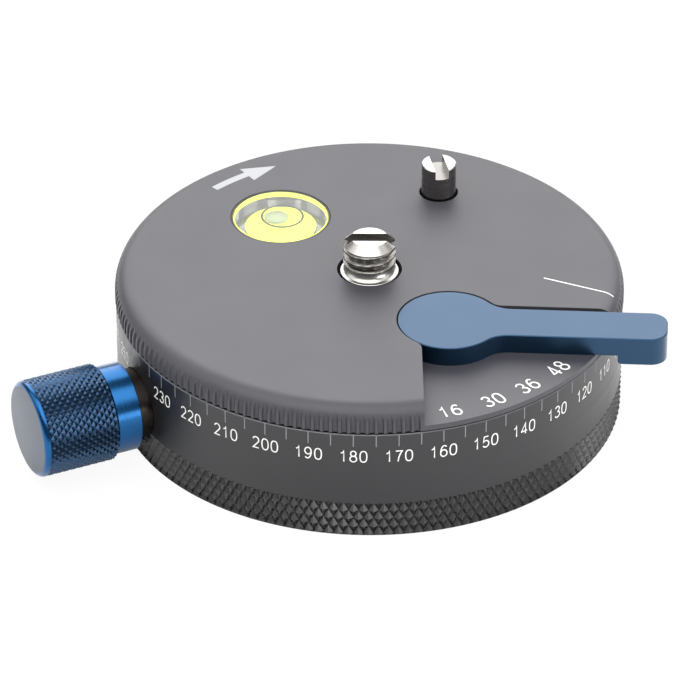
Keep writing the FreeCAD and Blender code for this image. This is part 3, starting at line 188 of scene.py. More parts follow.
def carve(piece, tools, sharp):
    """Takes closed solids away from a piece, one after another."""
    for shape in tools:
        tool = put("tool", shape)
        change = piece.modifiers.new("cut", "BOOLEAN")
        change.operation = "DIFFERENCE"
        change.solver = "MANIFOLD"
        change.object = tool
        evaluated = piece.evaluated_get(bpy.context.evaluated_depsgraph_get())
        before, piece.data = piece.data, bpy.data.meshes.new_from_object(evaluated)
        piece.modifiers.remove(change)
        for used in (before, tool.data):
            bpy.data.meshes.remove(used)
    if not piece.data.polygons:
        raise RuntimeError(piece.name + " was cut away whole")
    shade(piece, sharp)


def fit(piece, body, slot, finish, *nodes):
    """Gives a piece its finish and its body, and hides the nodes that it stands for. slot is not
    used.
    """
    # Carving leaves an empty material slot.
    piece.data.materials.clear()
    piece.data.materials.append(finishes()[finish])
    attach(piece, body)
    if nodes:
        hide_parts(*nodes)


def read(items, name, width, kind=float):
    """One property of every face, vertex or corner, a row for each."""
    values = np.empty(len(items) * width, kind)
    items.foreach_get(name, values)
    return values.reshape(-1, width)


def face_places(piece, axis=Matrix.Identity(4)):
    """How far the middle of each face lies from an axis, and how high along it."""
    axis = np.array(axis)
    spots = (read(piece.data.polygons, "center", 3) - axis[:3, 3]) @ axis[:3, :3]
    return np.hypot(spots[:, 0], spots[:, 1]), spots[:, 2]


def second_finish(piece, finish, chosen):
    """Gives one more finish to the chosen faces."""
    index = read(piece.data.polygons, "material_index", 1, np.int32)
    index[chosen] = len(piece.data.materials)
    piece.data.materials.append(finishes()[finish])
    piece.data.polygons.foreach_set("material_index", index.ravel())


def round_points(radius, angle, height):
    """Points from their distance to the Z axis, their angle round it and their height."""
    parts = radius * np.cos(angle), radius * np.sin(angle), height
    return np.stack(np.broadcast_arrays(*parts), axis=-1)


def turned(outline, columns, closed=True):
    """A solid of revolution: each radius and height of the outline is carried round Z."""
    outline = np.asarray(outline, float)
    angles = np.linspace(0, TURN, columns, endpoint=False)
    return solid(round_points(outline[:, :1], angles, outline[:, 1:]) * MM, closed)


def moved(shape, x, y):
    """A solid shifted sideways by millimetres."""
    return shape[0] + np.array([x * MM, y * MM, 0.0]), shape[1]


def post(outline, columns, place=(0, 0)):
    """A turned solid with an axis through its two ends, standing at a place."""
    return moved(turned(outline, columns, closed=False), *place)


def knob_matrix():
    """The turn that lays Z along the clamp knob's axis, outwards, at its height."""
    lie = Matrix.Rotation(math.radians(KNOB_ANGLE), 4, "Z") @ Matrix.Rotation(TURN / 4, 4, "Y")
    return Matrix.Translation((0, 0, KNOB_HEIGHT * MM)) @ lie


def on_knob_axis(shape):
    """A solid turned about Z, laid along the clamp knob's axis."""
    place = np.array(knob_matrix())
    return shape[0] @ place[:3, :3].T + place[:3, 3], shape[1]


def arc(centre, radius, start, end, steps):
    """Points between two angles in degrees, on a circle or, with two radii, an ellipse."""
    angles = np.radians(np.linspace(start, end, steps))
    return centre + np.stack([np.cos(angles), np.sin(angles)], axis=-1) * radius


def polar(radius, degrees):
    """The place at a distance and a direction from the middle."""
    return arc((0, 0), radius, degrees, degrees, 1)[0]


def spun(points, degrees):
    """Flat points turned about the middle."""
    turn = math.radians(degrees)
    return points @ np.array([(math.cos(turn), math.sin(turn)),
                              (-math.sin(turn), math.cos(turn))])


def raised(points, height):
    """Flat points at a height."""
    return np.column_stack([points, np.full(len(points), height)])


def prism(outlines, heights):
    """A solid whose section goes through several outlines of as many points, one a height."""
    return solid(np.stack([*map(raised, outlines, heights)]) * MM, closed=False)


def turned_between(below, above, radii, heights, angles, closed, other_diagonal=False):
    """A turned solid with a worked surface between two plain parts of its outline.

    radii holds the surface, a row for each of its heights and a column for each angle. below
    and above are the corners of the outline before and after it.
    """
    below, above = np.array(below), np.array(above)
    radii = np.concatenate([np.tile(below[:, :1], len(angles)), radii,
                            np.tile(above[:, :1], len(angles))])
    heights = np.concatenate([below[:, 1], heights, above[:, 1]])
    return solid(round_points(radii, angles, heights[:, None]) * MM, closed, other_diagonal)


def knurl(around, along, depth, flat):
    """Depth of a diamond knurl, and which diagonal splits each of its quads.

    around and along count diamonds. Two sets of grooves run where their sum and where their
    difference is whole. Between them the surface rises as a pyramid with a small flat top.
    """
    def depth_at(turns, rise):
        first = np.abs(2 * ((turns + rise) % 1.0) - 1)
        second = np.abs(2 * ((turns - rise) % 1.0) - 1)
        return depth * np.clip((np.maximum(first, second) - flat) / (1 - flat), 0, 1)

    turns, rise = np.meshgrid(around, along)
    corners = depth_at(turns, rise)
    step, lift = around[1] - around[0], along[1] - along[0]
    middle = depth_at(turns[:-1] + step / 2, rise[:-1] + lift / 2)
    right = np.roll(corners, -1, axis=1)
    one = np.abs((corners[:-1] + right[1:]) / 2 - middle)
    other = np.abs((right[:-1] + corners[1:]) / 2 - middle)
    return corners, other < one


def knurled(below, above, crest, start, end, count, rows, depth, flat, closed):
    """A turned solid with rows of diamonds, so many round, between two heights."""
    samples = 4
    around = np.arange(count * samples) / samples
    along = np.linspace(0, rows, rows * samples + 1)
    sink, split = knurl(around, along, depth, flat)
    swap = np.zeros((len(below) + len(along) + len(above) - (not closed), len(around)), bool)
    swap[len(below):len(below) + len(split)] = split
    return turned_between(below, above, crest - sink, start + (end - start) * along / rows,
                          around / count * TURN, closed, swap)


def threaded(below, above, first, last, crest, root, pitch, closed):
    """A turned solid whose outline has a thread between two heights.

    The radius falls from crest to root and back once a pitch, with a flat at each, and its
    phase moves on by one pitch a turn. It fades to the crest at both ends.
    """
    steps, columns = 14, 96
    steep, crest_flat, fade_out = 1.6, 0.3, 0.3
    heights = np.linspace(first, last, int(round((last - first) / pitch * steps)) + 1)
    angles = np.linspace(0, TURN, columns, endpoint=False)
    phase = (heights[:, None] / pitch - angles / TURN) % 1.0
    wave = np.clip(steep * (1 - np.abs(2 * phase - 1)) - crest_flat, 0, 1)
    fade = np.clip(np.minimum(heights - first, last - heights) / (fade_out * pitch), 0, 1)
    radii = crest + (root - crest) * wave * fade[:, None]
    return turned_between(below, above, radii, heights, angles, closed)


# ---- finishes ----


def add_node(tree, kind, inputs=(), **settings):
    """Adds a node with its settings.

    inputs pairs a socket with a value, an output, or a node whose first output is meant.
    """
    made = tree.nodes.new(kind)
    for name, value in settings.items():
        setattr(made, name, value)
    for socket, value in inputs:
        if isinstance(value, bpy.types.Node):
            value = value.outputs[0]
        if isinstance(value, bpy.types.NodeSocket):
            tree.links.new(value, made.inputs[socket])
        else:
            made.inputs[socket].default_value = value
    return made


def new_material(name):
    """An empty node material, its tree and its output."""
    material = bpy.data.materials.new(name)
    material.use_nodes = True
    tree = material.node_tree
    tree.nodes.clear()
    return material, tree, add_node(tree, "ShaderNodeOutputMaterial")


# Every finish by its short name.
FINISHES = {}


def plain_finish(key, name, *inputs):
    """A finish that is one shader with plain values."""
    material, tree, output = new_material(name)
    surface = add_node(tree, "ShaderNodeBsdfPrincipled", inputs)
    tree.links.new(surface.outputs[0], output.inputs[0])
    FINISHES[key] = material


def metal_finish(key, name, base, roughness, metallic=1.0, ior=1.5, coat=(0.0, 0.03),
                 grain=0.25, height=0.002, rings=0.0, ring_height=0.0, place=None, mottle=0.06):
    """A metal or its dyed or printed skin, with blasted grain and turning rings.

    coat is the weight and roughness of a clear skin. grain is the size of a fine noise, and
    rings the spacing of one that reads only distance from the turning axis and height along
    it. Both push the surface by their heights, all in mm. A broad noise, and the rings, move
    roughness and shade by mottle. place is the turning axis.
    """
    broad_size = 9
    material, tree, output = new_material(name)
    spot = add_node(tree, "ShaderNodeTexCoord").outputs["Object"]
    if place is not None:
        back = place.inverted()
        spot = add_node(tree, "ShaderNodeMapping", (
            ("Vector", spot), ("Location", back.to_translation()),
            ("Rotation", back.to_euler())))
    fine = add_node(tree, "ShaderNodeTexNoise", (("Vector", spot), ("Scale", 1 / (grain * MM))))
    worn = add_node(tree, "ShaderNodeTexNoise", (
        ("Vector", spot), ("Scale", 1 / (broad_size * MM)), ("Detail", 3.0)))
    bump = add_node(tree, "ShaderNodeBump", (("Height", fine), ("Distance", height * MM)))
    if rings:
        flat = add_node(tree, "ShaderNodeVectorMath", (("Vector", spot), (1, (1.0, 1.0, 0.0))),
                        operation="MULTIPLY")
        reach = add_node(tree, "ShaderNodeVectorMath", ((0, flat),), operation="LENGTH")
        parts = add_node(tree, "ShaderNodeSeparateXYZ", (("Vector", spot),))
        line = add_node(tree, "ShaderNodeCombineXYZ", (
            ("X", reach.outputs["Value"]), ("Y", parts.outputs["Z"])))
        lathe = add_node(tree, "ShaderNodeTexNoise", (
            ("Vector", line), ("Scale", 1 / (rings * MM)), ("Detail", 1.0)),
            noise_dimensions="2D")
        bump = add_node(tree, "ShaderNodeBump", (
            ("Height", lathe), ("Distance", ring_height * MM), ("Normal", bump)))
        worn = add_node(tree, "ShaderNodeMix", (("A", worn), ("B", lathe)))
    rough = add_node(tree, "ShaderNodeMapRange", (
        ("Value", worn), ("From Min", 0.3), ("From Max", 0.7),
        ("To Min", roughness - mottle), ("To Max", roughness + mottle)))
    dark, light = ((*[min(value * share, 1.0) for value in base[:3]], 1.0)
                   for share in (1 - mottle, 1 + mottle))
    tone = add_node(tree, "ShaderNodeMix", (("A", dark), ("B", light), ("Factor", worn)),
                    data_type="RGBA")
    surface = add_node(tree, "ShaderNodeBsdfPrincipled", (
        ("Base Color", tone.outputs["Result"]), ("Roughness", rough), ("Metallic", metallic),
        ("IOR", ior), ("Coat Weight", coat[0]), ("Coat Roughness", coat[1]),
        ("Normal", bump)))
    tree.links.new(surface.outputs[0], output.inputs[0])
    FINISHES[key] = material


def finishes():
    """Every finish of the head, made once."""
    if FINISHES:
        return FINISHES
    tones = bpy.context.scene.head_colours
    knob = knob_matrix()
    pin, level = (Matrix.Translation((x * MM, y * MM, 0)) for x, y in (PIN_PLACE, LEVEL_PLACE))
    # Turned aluminium, dyed black and sealed: a dark satin skin with fine lathe rings. The real
    # feed of about 0.1 mm is drawn at 0.22 mm so that it shows.
    metal_finish("black", "black_anodised_turned_aluminium", tones.black, 0.36, metallic=0.0,
                 rings=0.22, ring_height=0.004)
    # The same skin over the knurl, a little smoother and shinier, and painted darker than the
    # band: painted shade in its grooves.
    metal_finish("black_knurl", "black_anodised_knurl_painted_shade", linear("#0B0B0C"), 0.28, metallic=0.0,
                 ior=1.65)
    # The fine chamfer at the top of the band, painted lighter than the band: a painted highlight
    # along its edge.
    metal_finish("edge_highlight", "black_anodised_painted_edge_highlight", linear("#5C5C60"), 0.35, metallic=0.0,
                 height=0.001)
    # Bead-blasted aluminium, dyed black: an even soft sheen without lines.
    metal_finish("blasted", "black_anodised_blasted_aluminium", tones.blasted, 0.48,
                 metallic=0.0, grain=0.3, height=0.004, mottle=0.015)
    # The level's cup: dyed black like the plate, but painted much darker than it: painted shade
    # in the narrow gap round the vial.
    metal_finish("cup", "black_anodised_cup", linear("#0C0C0D"), 0.4, metallic=0.0,
                 height=0.001, place=level)
    # Blasted aluminium dyed blue: a coloured metal under a clear sealed skin that hazes it.
    metal_finish("blue", "blue_anodised_satin_aluminium", tones.blasted_blue, 0.42,
                 coat=(0.6, 0.35), grain=0.3, height=0.003, mottle=0.03)
    # The same dye over lathe rings, brighter where the tool left it smooth.
    metal_finish("blue_turned", "blue_anodised_turned_aluminium", tones.blue, 0.24,
                 coat=(0.3, 0.2), grain=0.3, height=0.001, rings=0.2, ring_height=0.003,
                 place=knob, mottle=0.04)
    # The knob's knurl: painted darker than the rest of the knob, as painted shade in its grooves,
    # and a little rougher.
    metal_finish("blue_knurl", "blue_anodised_knurl_painted_shade", linear("#0A3556"), 0.28, coat=(0.6, 0.25),
                 grain=0.3, place=knob, mottle=0.05)
    # The knob's end, faced and hazed like the lever but with lathe rings.
    metal_finish("blue_faced", "blue_anodised_faced_aluminium", linear("#1A2E42"), 0.4,
                 coat=(0.55, 0.4), grain=0.3, rings=0.2, ring_height=0.002, place=knob,
                 mottle=0.03)
    # Stainless steel as it left the lathe, with rings about each piece's own axis.
    for name, place, shade_of in (("steel", None, "#A9A6A2"), ("pin_steel", pin, "#7F7C79")):
        metal_finish(name, name + "_turned_stainless", linear(shade_of), 0.27, grain=0.2,
                     height=0.003, rings=0.18, ring_height=0.005, place=place)
    # Rolled thread: its flanks are duller and darker than turned faces.
    metal_finish("thread", "rolled_thread_stainless", linear("#7C7976"), 0.32, grain=0.24,
                 height=0.045)
    # Screws and clips blackened in hot oil: dark, with a low shine.
    metal_finish("dark_steel", "blackened_steel", linear("#3A3A3C"), 0.4)
    # Plain bearing bronze: warm and dull.
    metal_finish("bronze", "turned_bearing_bronze", linear("#B08D57"), 0.34, rings=0.2,
                 ring_height=0.003, mottle=0.1)
    # The clamp bush: bronze gone nearly black with oil.
    metal_finish("dark_bronze", "burnished_dark_bronze", linear("#322D2A"), 0.36, place=knob,
                 mottle=0.12)
    # Skived PTFE sheet: white and waxy.
    metal_finish("ptfe", "white_slide_plastic", linear("#DDDDD8"), 0.55, metallic=0.0,
                 grain=0.3)
    # Screen ink, hand wiped into shallow engraving: an even matt white.
    metal_finish("ink", "white_screen_ink", tones.ink, 0.6, metallic=0.0, grain=0.12,
                 height=0.004, mottle=0.05)
    # Laser marking through the dye: a thin line of dull grey metal, and a coarser filled arrow.
    metal_finish("etched", "laser_etched_line", tones.etched, 0.55, metallic=0.0, grain=0.12,
                 height=0.004, mottle=0.1)
    metal_finish("arrow", "laser_etched_arrow", linear("#9FA0A3"), 0.55, metallic=0.0,
                 grain=0.16, height=0.006, mottle=0.25)
    # Cast acrylic, polished: colourless, with a sharp gleam.
    plain_finish("acrylic", "polished_clear_acrylic", ("Base Color", linear("#FAFCF4")),
                 ("Roughness", 0.03), ("IOR", 1.49), ("Transmission Weight", 1.0))
    # Fluorescent fluid over white, with a painted glow: its emission keeps it yellow-green in any
    # light.
    plain_finish("glow", "fluorescent_level_fluid", ("Base Color", (*tones.fluid, 1.0)),
                 ("Roughness", 0.5), ("Emission Color", (*tones.fluid, 1.0)),
                 ("Emission Strength", 0.36))
    # Air in the fluid: its boundary bends light the other way.
    plain_finish("air", "air_in_fluid", ("Base Color", linear("#B4BCB0")), ("IOR", 0.75),
                 ("Roughness", 0.15), ("Transmission Weight", 0.55))
    return FINISHES


# ---- numbers ----


def oval(x, y, across, tall, power=2.0, steps=20):
    """Points round a closed oval, squarer as the power grows."""
    angles = np.linspace(0, TURN, steps, endpoint=False)
    ways = np.stack([np.cos(angles), np.sin(angles)], axis=-1)
    return (x, y) + np.sign(ways) * np.abs(ways) ** (2 / power) * (across, tall)


def digit_strokes():
    """The strokes of the ten digits: for each, whether it is a loop, and its points.

    Each digit stands on a cell one high and 0.6 wide.
    """
    flip = np.array([0.6, 1.0])
    tail = arc((0.35, 0.36), (0.28, 0.61), 55, 176, 12)
    bowl = oval(0.31, 0.32, 0.24, 0.29)
    return {
        "0": [(True, oval(0.3, 0.5, 0.25, 0.47, 2.5))],
        "1": [(False, [(0.13, 0.745), (0.24, 0.79), (0.315, 0.88), (0.345, 0.97),
                       (0.345, 0.03)])],
        "2": [(False, np.concatenate([arc((0.3, 0.7), (0.235, 0.27), 165, -35, 11),
                                      [(0.075, 0.03), (0.54, 0.03)]]))],
        "3": [(False, arc((0.29, 0.745), (0.21, 0.225), 160, -90, 12)),
              (False, arc((0.29, 0.28), (0.245, 0.25), 90, -160, 12))],
        "4": [(False, [(0.42, 0.03), (0.42, 0.97), (0.05, 0.27)]),
              (False, [(0.01, 0.27), (0.57, 0.27)])],
        "5": [(False, np.concatenate([[(0.5, 0.95), (0.16, 0.95), (0.1, 0.5)],
                                      arc((0.29, 0.32), (0.25, 0.29), 130, -150, 12)]))],
        "6": [(False, tail), (True, bowl)],
        "7": [(False, [(0.06, 0.95), (0.54, 0.95), (0.4, 0.7), (0.29, 0.4), (0.235, 0.03)])],
        "8": [(True, oval(0.3, 0.745, 0.2, 0.225)), (True, oval(0.3, 0.28, 0.245, 0.25))],
        "9": [(False, flip - tail), (True, flip - bowl)],
    }


def ribbon(points, loop, width, thick):
    """A flat bar of rectangular section carried along a line, mitred at its corners."""
    before, after = np.roll(points, 1, axis=0), np.roll(points, -1, axis=0)
    if not loop:
        before[0] = 2 * points[0] - points[1]
        after[-1] = 2 * points[-1] - points[-2]

    def unit(ways, least=0.0):
        return ways / np.maximum(np.linalg.norm(ways, axis=1, keepdims=True), least)

    come, leave = unit(points - before), unit(after - points)
    mean = unit(come + leave, 0.3)
    spread = width / 2 / np.clip(np.einsum("ij,ij->i", mean, come), 0.45, 1)[:, None]
    side = np.stack([-mean[:, 1], mean[:, 0]], axis=-1) * spread
    corners = ((-1, 0.0), (1, 0.0), (1, thick), (-1, thick))
    rows = [raised(points + way * side, rise) for way, rise in corners]
    return solid(np.stack(rows, axis=1), closed=loop)


def lettering(number, height, weight, thick, wrap):
    """A number as solids, centred on its place. wrap carries flat points to the surface.

    Where two strokes of a digit cross, the second stands a little prouder.
    """
    advance, half_cell, prouder = 0.74, 0.3, 0.3
    text, strokes, solids = str(number), digit_strokes(), []
    for place, character in enumerate(text):
        shift = (place - (len(text) - 1) / 2) * advance - half_cell
        for order, (loop, points) in enumerate(strokes[character]):
            proud = thick / height * (1 + prouder * order)
            vertices, faces = ribbon(np.array(points) + [shift, 0.0], loop, weight, proud)
            solids.append((wrap(vertices * height), faces))
    return solids


def around(angle, radius, height, upright):
    """Carries flat points round the pan axis: up the band, or lying, in towards the axis."""
    def wrap(points):
        across, up, out = points.T
        turn = math.radians(angle) + across / radius
        if upright:
            return round_points(radius + out, turn, height + up)
        return round_points(radius - up, turn, height + out)
    return wrap


# ---- pieces ----


class HEAD_OT_housing(bpy.types.Operator):
    """Builds the base: knurled foot, degree band and the stepped passage of the clamp"""

    bl_idname = "head.housing"
    bl_label = "Degree Housing"

    def execute(self, context):
        sizes = context.scene.head_sizes
        foot, band = sizes.foot_radius / MM, sizes.band_radius / MM
        step, top = sizes.foot_height / MM, sizes.base_height / MM
        bevel, relief, socket, wall = 0.15, 0.4, 6.42, 42.0
        floor, ledge, inner, outer = 5.0, 9.6, 27.5, 33.0
        below = [(socket, floor), (socket, 0.0), (12.0, 0.0), (12.0 + relief, relief),
                 (39.5 - relief, relief), (39.5, 0.0), (foot - bevel, 0.0)]
        above = [(band, step), (band, top - bevel), (band - bevel, top), (wall, top),
                 (wall, floor), (outer, floor), (outer, ledge), (inner, ledge),
                 (inner, floor)]
        shape = knurled(below, above, foot, bevel, step, count=160, rows=2,
                        depth=sizes.foot_knurl / MM, flat=0.05, closed=True)
        piece = put("degree_housing", shape)
        stud_hole, bush_hole, bush_seat = 3.51, 6.55, 44.9
        passage = post([(stud_hole, 37.7), (stud_hole, bush_seat), (bush_hole, bush_seat),
                        (bush_hole, bush_seat + 3)], 96)
        carve(piece, [on_knob_axis(passage)], sharp=18)
        fit(piece, "base", "black_anodised", "black", "base_housing")
        reach, height = face_places(piece)
        hair = 0.001 * MM
        # Two painted finishes: the knurl is painted darker, as painted shade in its grooves, and
        # the band's top chamfer is painted lighter, as a painted highlight.
        for finish, inside, bottom, upper in (("black_knurl", foot - 1, 0.1, step),
                                              ("edge_highlight", band - bevel, top - bevel, top)):
            second_finish(piece, finish, (reach > inside * MM) & (height > bottom * MM)
                          & (height < upper * MM - hair))
        return {"FINISHED"}


def plate_blank(sizes):
    """The turning plate before its openings.

    Each row of the outline is carried round with eight points to a groove. Seven of them lie
    on the circle of a round cutter just outside the rim, where the row's radius reaches it.
    The rim under the lever's pocket has no grooves.
    """
    rim, top = sizes.plate_radius / MM, sizes.plate_top / MM
    shoulder, depth = sizes.plate_shoulder / MM, sizes.groove_depth / MM
    under, lower, bevel, spigot = 19.6, 21.55, 0.15, 41.6
    well, well_floor, screw_hole, hub_seat, hub_ceiling = 5.88, 24.55, 4.8025, 9.2, 21.6
    outline = np.concatenate([
        [(hub_seat, under), (spigot, under), (spigot, lower), (rim - bevel, lower),
         (rim, lower + bevel)],
        arc((rim - shoulder, top - shoulder), shoulder, 0, 90, 19),
        [(rim - shoulder - 0.6, top), (14.0, top), (well, top), (well, well_floor),
         (screw_hole, well_floor), (screw_hole, hub_ceiling), (hub_seat, hub_ceiling)]])
    wide = outline[:, 0]
    cutter, narrowest = 0.5525, 0.02
    centre = rim - depth + cutter
    lip = np.sqrt(np.maximum(cutter ** 2 - (wide - centre) ** 2, 0.0))
    lip = np.where(wide > rim - depth, np.maximum(lip, narrowest), narrowest)
    share = np.array([-1, -0.72, -0.38, 0, 0.38, 0.72, 1])
    across = lip[:, None] * share
    sunk = np.minimum(centre - np.sqrt(cutter ** 2 - across ** 2), wide[:, None])
    across = np.column_stack([across, np.full(len(wide), math.pi * rim / sizes.grooves)])
    sunk = np.column_stack([sunk, wide])
    starts = np.arange(sizes.grooves) * 360 / sizes.grooves
    plain = (starts > 360 - POCKET_SPAN[1]) & (starts < 360 - POCKET_SPAN[0])
    radii = np.where(plain[None, :, None], wide[:, None, None], sunk[:, None, :])
    angles = np.radians(starts)[None, :, None] + (across / rim)[:, None, :]
    radii, angles = radii.reshape(len(wide), -1), angles.reshape(len(wide), -1)
    return solid(round_points(radii, angles, outline[:, 1:]) * MM)


def pocket_outline(grow):
    """The lever pocket's plan: a round head, two straight sides and the rounds between.

    Each round touches one side, and the head's circle from outside.
    """
    head, rounding, half, far = 9.4 + grow, 2.6 - grow, 5.1 + grow, 60.0
    middle = (math.sqrt((head + rounding) ** 2 - (half + rounding) ** 2), half + rounding)
    meets = math.degrees(math.atan2(middle[1], middle[0]))
    side = np.concatenate([[(far, half)], arc(middle, rounding, -90, meets - 180, 7)])
    last = ARM_ANGLE - LAST_STOP
    circle = arc((0, 0), head, ARM_ANGLE + meets, last - meets + 360, 49)[1:-1]
    corner = [polar(far * 1.2, (ARM_ANGLE + last) / 2)]
    return np.concatenate([spun(side, ARM_ANGLE), circle, spun(side * [1, -1], last)[::-1],
                           corner]) + PIVOT


def slot_outline(middle, half):
    """The plan of the click tube's arc slot, with round ends."""
    end = ARM_ANGLE - 90
    start = end - LAST_STOP
    return np.concatenate([
        arc((0, 0), middle + half, start, end, 25),
        arc(polar(middle, end), half, end, end + 180, 13)[1:-1],
        arc((0, 0), middle - half, end, start, 25),
        arc(polar(middle, start), half, start + 180, start + 360, 13)[1:-1]]) + PIVOT


class HEAD_OT_plate(bpy.types.Operator):
    """Builds the turning plate: serrated rim, shoulder, lever pocket, wells and holes"""

    bl_idname = "head.plate"
    bl_label = "Turning Plate"

    def execute(self, context):
        sizes = context.scene.head_sizes
        piece = put("turning_plate", plate_blank(sizes))
        top, bevel = sizes.plate_top / MM, sizes.edge_break / MM
        beyond, through = top + 1.5, 17.0
        pocket = prism([pocket_outline(grow) for grow in (0, 0, 2 * bevel, 2 * bevel)],
                       [POCKET_FLOOR, top - bevel, top + bevel, beyond])

        def mouth(radius):
            return [(radius, top - bevel), (radius + 2 * bevel, top + bevel),
                    (radius + 2 * bevel, beyond)]

        tools = [pocket,
                 post([(9.15, 20.6), *mouth(9.15)], 96, LEVEL_PLACE),
                 post([(3.215, through), (3.215, 24.4), (3.55, 24.4), *mouth(3.55)], 64,
                      PIN_PLACE),
                 post([(3.86, through), (3.86, 22.75)], 64, PIVOT),
                 prism([slot_outline(6.5, 1.95)] * 2, [18.0, 23.2])]
        for radius, orbit, angles in ((1.52, 20.0, (10, 80, 190, 260)),
                                      (1.27, 39.5, (20, 80, 140, 200, 260))):
            tools.append(joined([post([(radius, 18.0), (radius, 23.22)], 24,
                                      polar(orbit, angle)) for angle in angles]))
        carve(piece, tools, sharp=24)
        fit(piece, "turntable", "plate_anodised", "blasted", "top_plate")
        return {"FINISHED"}


class HEAD_OT_clamp_knob(bpy.types.Operator):
    """Builds the clamp knob: diamond knurl, smooth neck and rounded end"""

    bl_idname = "head.clamp_knob"
    bl_label = "Clamp Knob"

    def execute(self, context):
        sizes = context.scene.head_sizes
        crest, end = sizes.knob_radius / MM, sizes.knob_end / MM
        start, neck, bevel, stud = end - 14.33, 8.05, 0.15, 2.52
        first, last, back = start + 0.4, end - 1.05, start - 4.59
        below = [(stud, 61.93), (stud, back), (neck - bevel, back), (neck, back + bevel),
                 (neck, start), (crest - 0.5, start)]
        above = [(crest - 0.12, end - 1.02), *arc((crest - 1.1, end - 1.0), 1.0, 0, 90, 9)]
        shape = knurled(below, above, crest, first, last, count=37, rows=9,
                        depth=sizes.knob_knurl / MM, flat=0.1, closed=False)
        piece = put("clamp_grip", on_knob_axis(shape), 18)
        fit(piece, "clamp_knob", "blue_anodised", "blue_turned", "clamp_knob")
        reach, along = face_places(piece, knob_matrix())
        second_finish(piece, "blue_faced", along > (end - 0.02) * MM)
        # The knurl's darker finish is painted shade in its grooves.
        second_finish(piece, "blue_knurl", (reach > (neck + bevel) * MM) & (along > first * MM)
                      & (along < (last + 0.01) * MM))
        return {"FINISHED"}


class HEAD_OT_camera_screw(bpy.types.Operator):
    """Builds the threaded camera screw with its disc, hollow flare and coin slot"""

    bl_idname = "head.camera_screw"
    bl_label = "Camera Screw"

    def execute(self, context):
        sizes = context.scene.head_sizes
        crest, top = sizes.screw_radius / MM, sizes.screw_top / MM
        disc, disc_floor, disc_top, first, last = 5.3, 24.6, 26.3, 28.3, top - 1.2
        flare = np.radians(np.linspace(75, 0, 8))
        hollow, bend, bevel, edge = 27.85, (1.22, 1.55), 0.1, 0.08
        curve = (disc, hollow) - np.column_stack([np.cos(flare), np.sin(flare)]) * bend
        below = [(crest, 18.65), (crest, disc_floor), (disc - bevel, disc_floor),
                 (disc, disc_floor + bevel), (disc, disc_top - edge), (disc - edge, disc_top),
                 *curve]
        shape = threaded(below, [(3.3, top)], first, last, crest, 3.95,
                         sizes.thread_pitch / MM, closed=False)
        piece = put("camera_screw_threaded", shape)
        long, width, angle = 16, 2.45, 3.4
        coin = spun(np.array(SQUARE) * (long / 2, width / 2), angle)
        carve(piece, [prism([coin] * 2, [top - 1.9, top + 1])], sharp=16)
        fit(piece, "turntable", "bright_steel", "steel", "camera_screw")
        height = face_places(piece)[1]
        second_finish(piece, "thread", (height > first * MM) & (height < (last - 0.01) * MM))
        return {"FINISHED"}


class HEAD_OT_tripod_bush(bpy.types.Operator):
    """Builds the threaded tripod socket in the underside"""

    bl_idname = "head.tripod_bush"
    bl_label = "Tripod Bush"

    def execute(self, context):
        mouth, shank, collar, tall, collar_top, collar_floor = 5.1, 6.4, 9.0, 8.6, 6.4, 5.0
        above = [(mouth, tall), (shank, tall), (shank, collar_top), (collar, collar_top),
                 (collar, collar_floor), (shank, collar_floor), (shank, 0.0)]
        shape = threaded([(mouth, 0.0)], above, 0.35, tall - 0.3, 4.8, 4.0,
                         context.scene.head_sizes.thread_pitch / MM, closed=True)
        piece = put("tripod_bush_threaded", shape)
        fit(piece, "base", "bright_steel", "steel", "tripod_bush")
        return {"FINISHED"}


class HEAD_OT_scale(bpy.types.Operator):
    """Marks the degree band with its lines and numbers"""

    bl_idname = "head.scale"
    bl_label = "Degree Scale"

    def execute(self, context):
        sizes = context.scene.head_sizes
        band, sunk = sizes.band_radius, sizes.print_root
        thick = sizes.print_lift + sunk
        line_width, line_length, line_foot, number_foot, weight = 0.19, 2.35, 18.8, 15.55, 0.094
        behind_knob = 240
        way = np.array([(0.0, 0.0), (0.0, line_length * MM)])
        vertices, faces = ribbon(way, False, line_width * MM, thick)
        vertices[:, 2] -= sunk
        lines, numbers = [], []
        for degrees in range(0, 360, 5):
            wrap = around(90 - degrees, band, line_foot * MM, upright=True)
            lines.append((wrap(vertices), faces))
            if degrees % 10 == 0 and degrees != behind_knob:
                wrap = around(90 - degrees, band - sunk, number_foot * MM, upright=True)
                numbers += lettering(degrees, sizes.number_height, weight, thick, wrap)
        for name, solids, finish in (("degree_lines", lines, "etched"),
                                     ("degree_numbers", numbers, "ink")):
            fit(put(name, joined(solids)), "base", "black_anodised", finish)
        return {"FINISHED"}


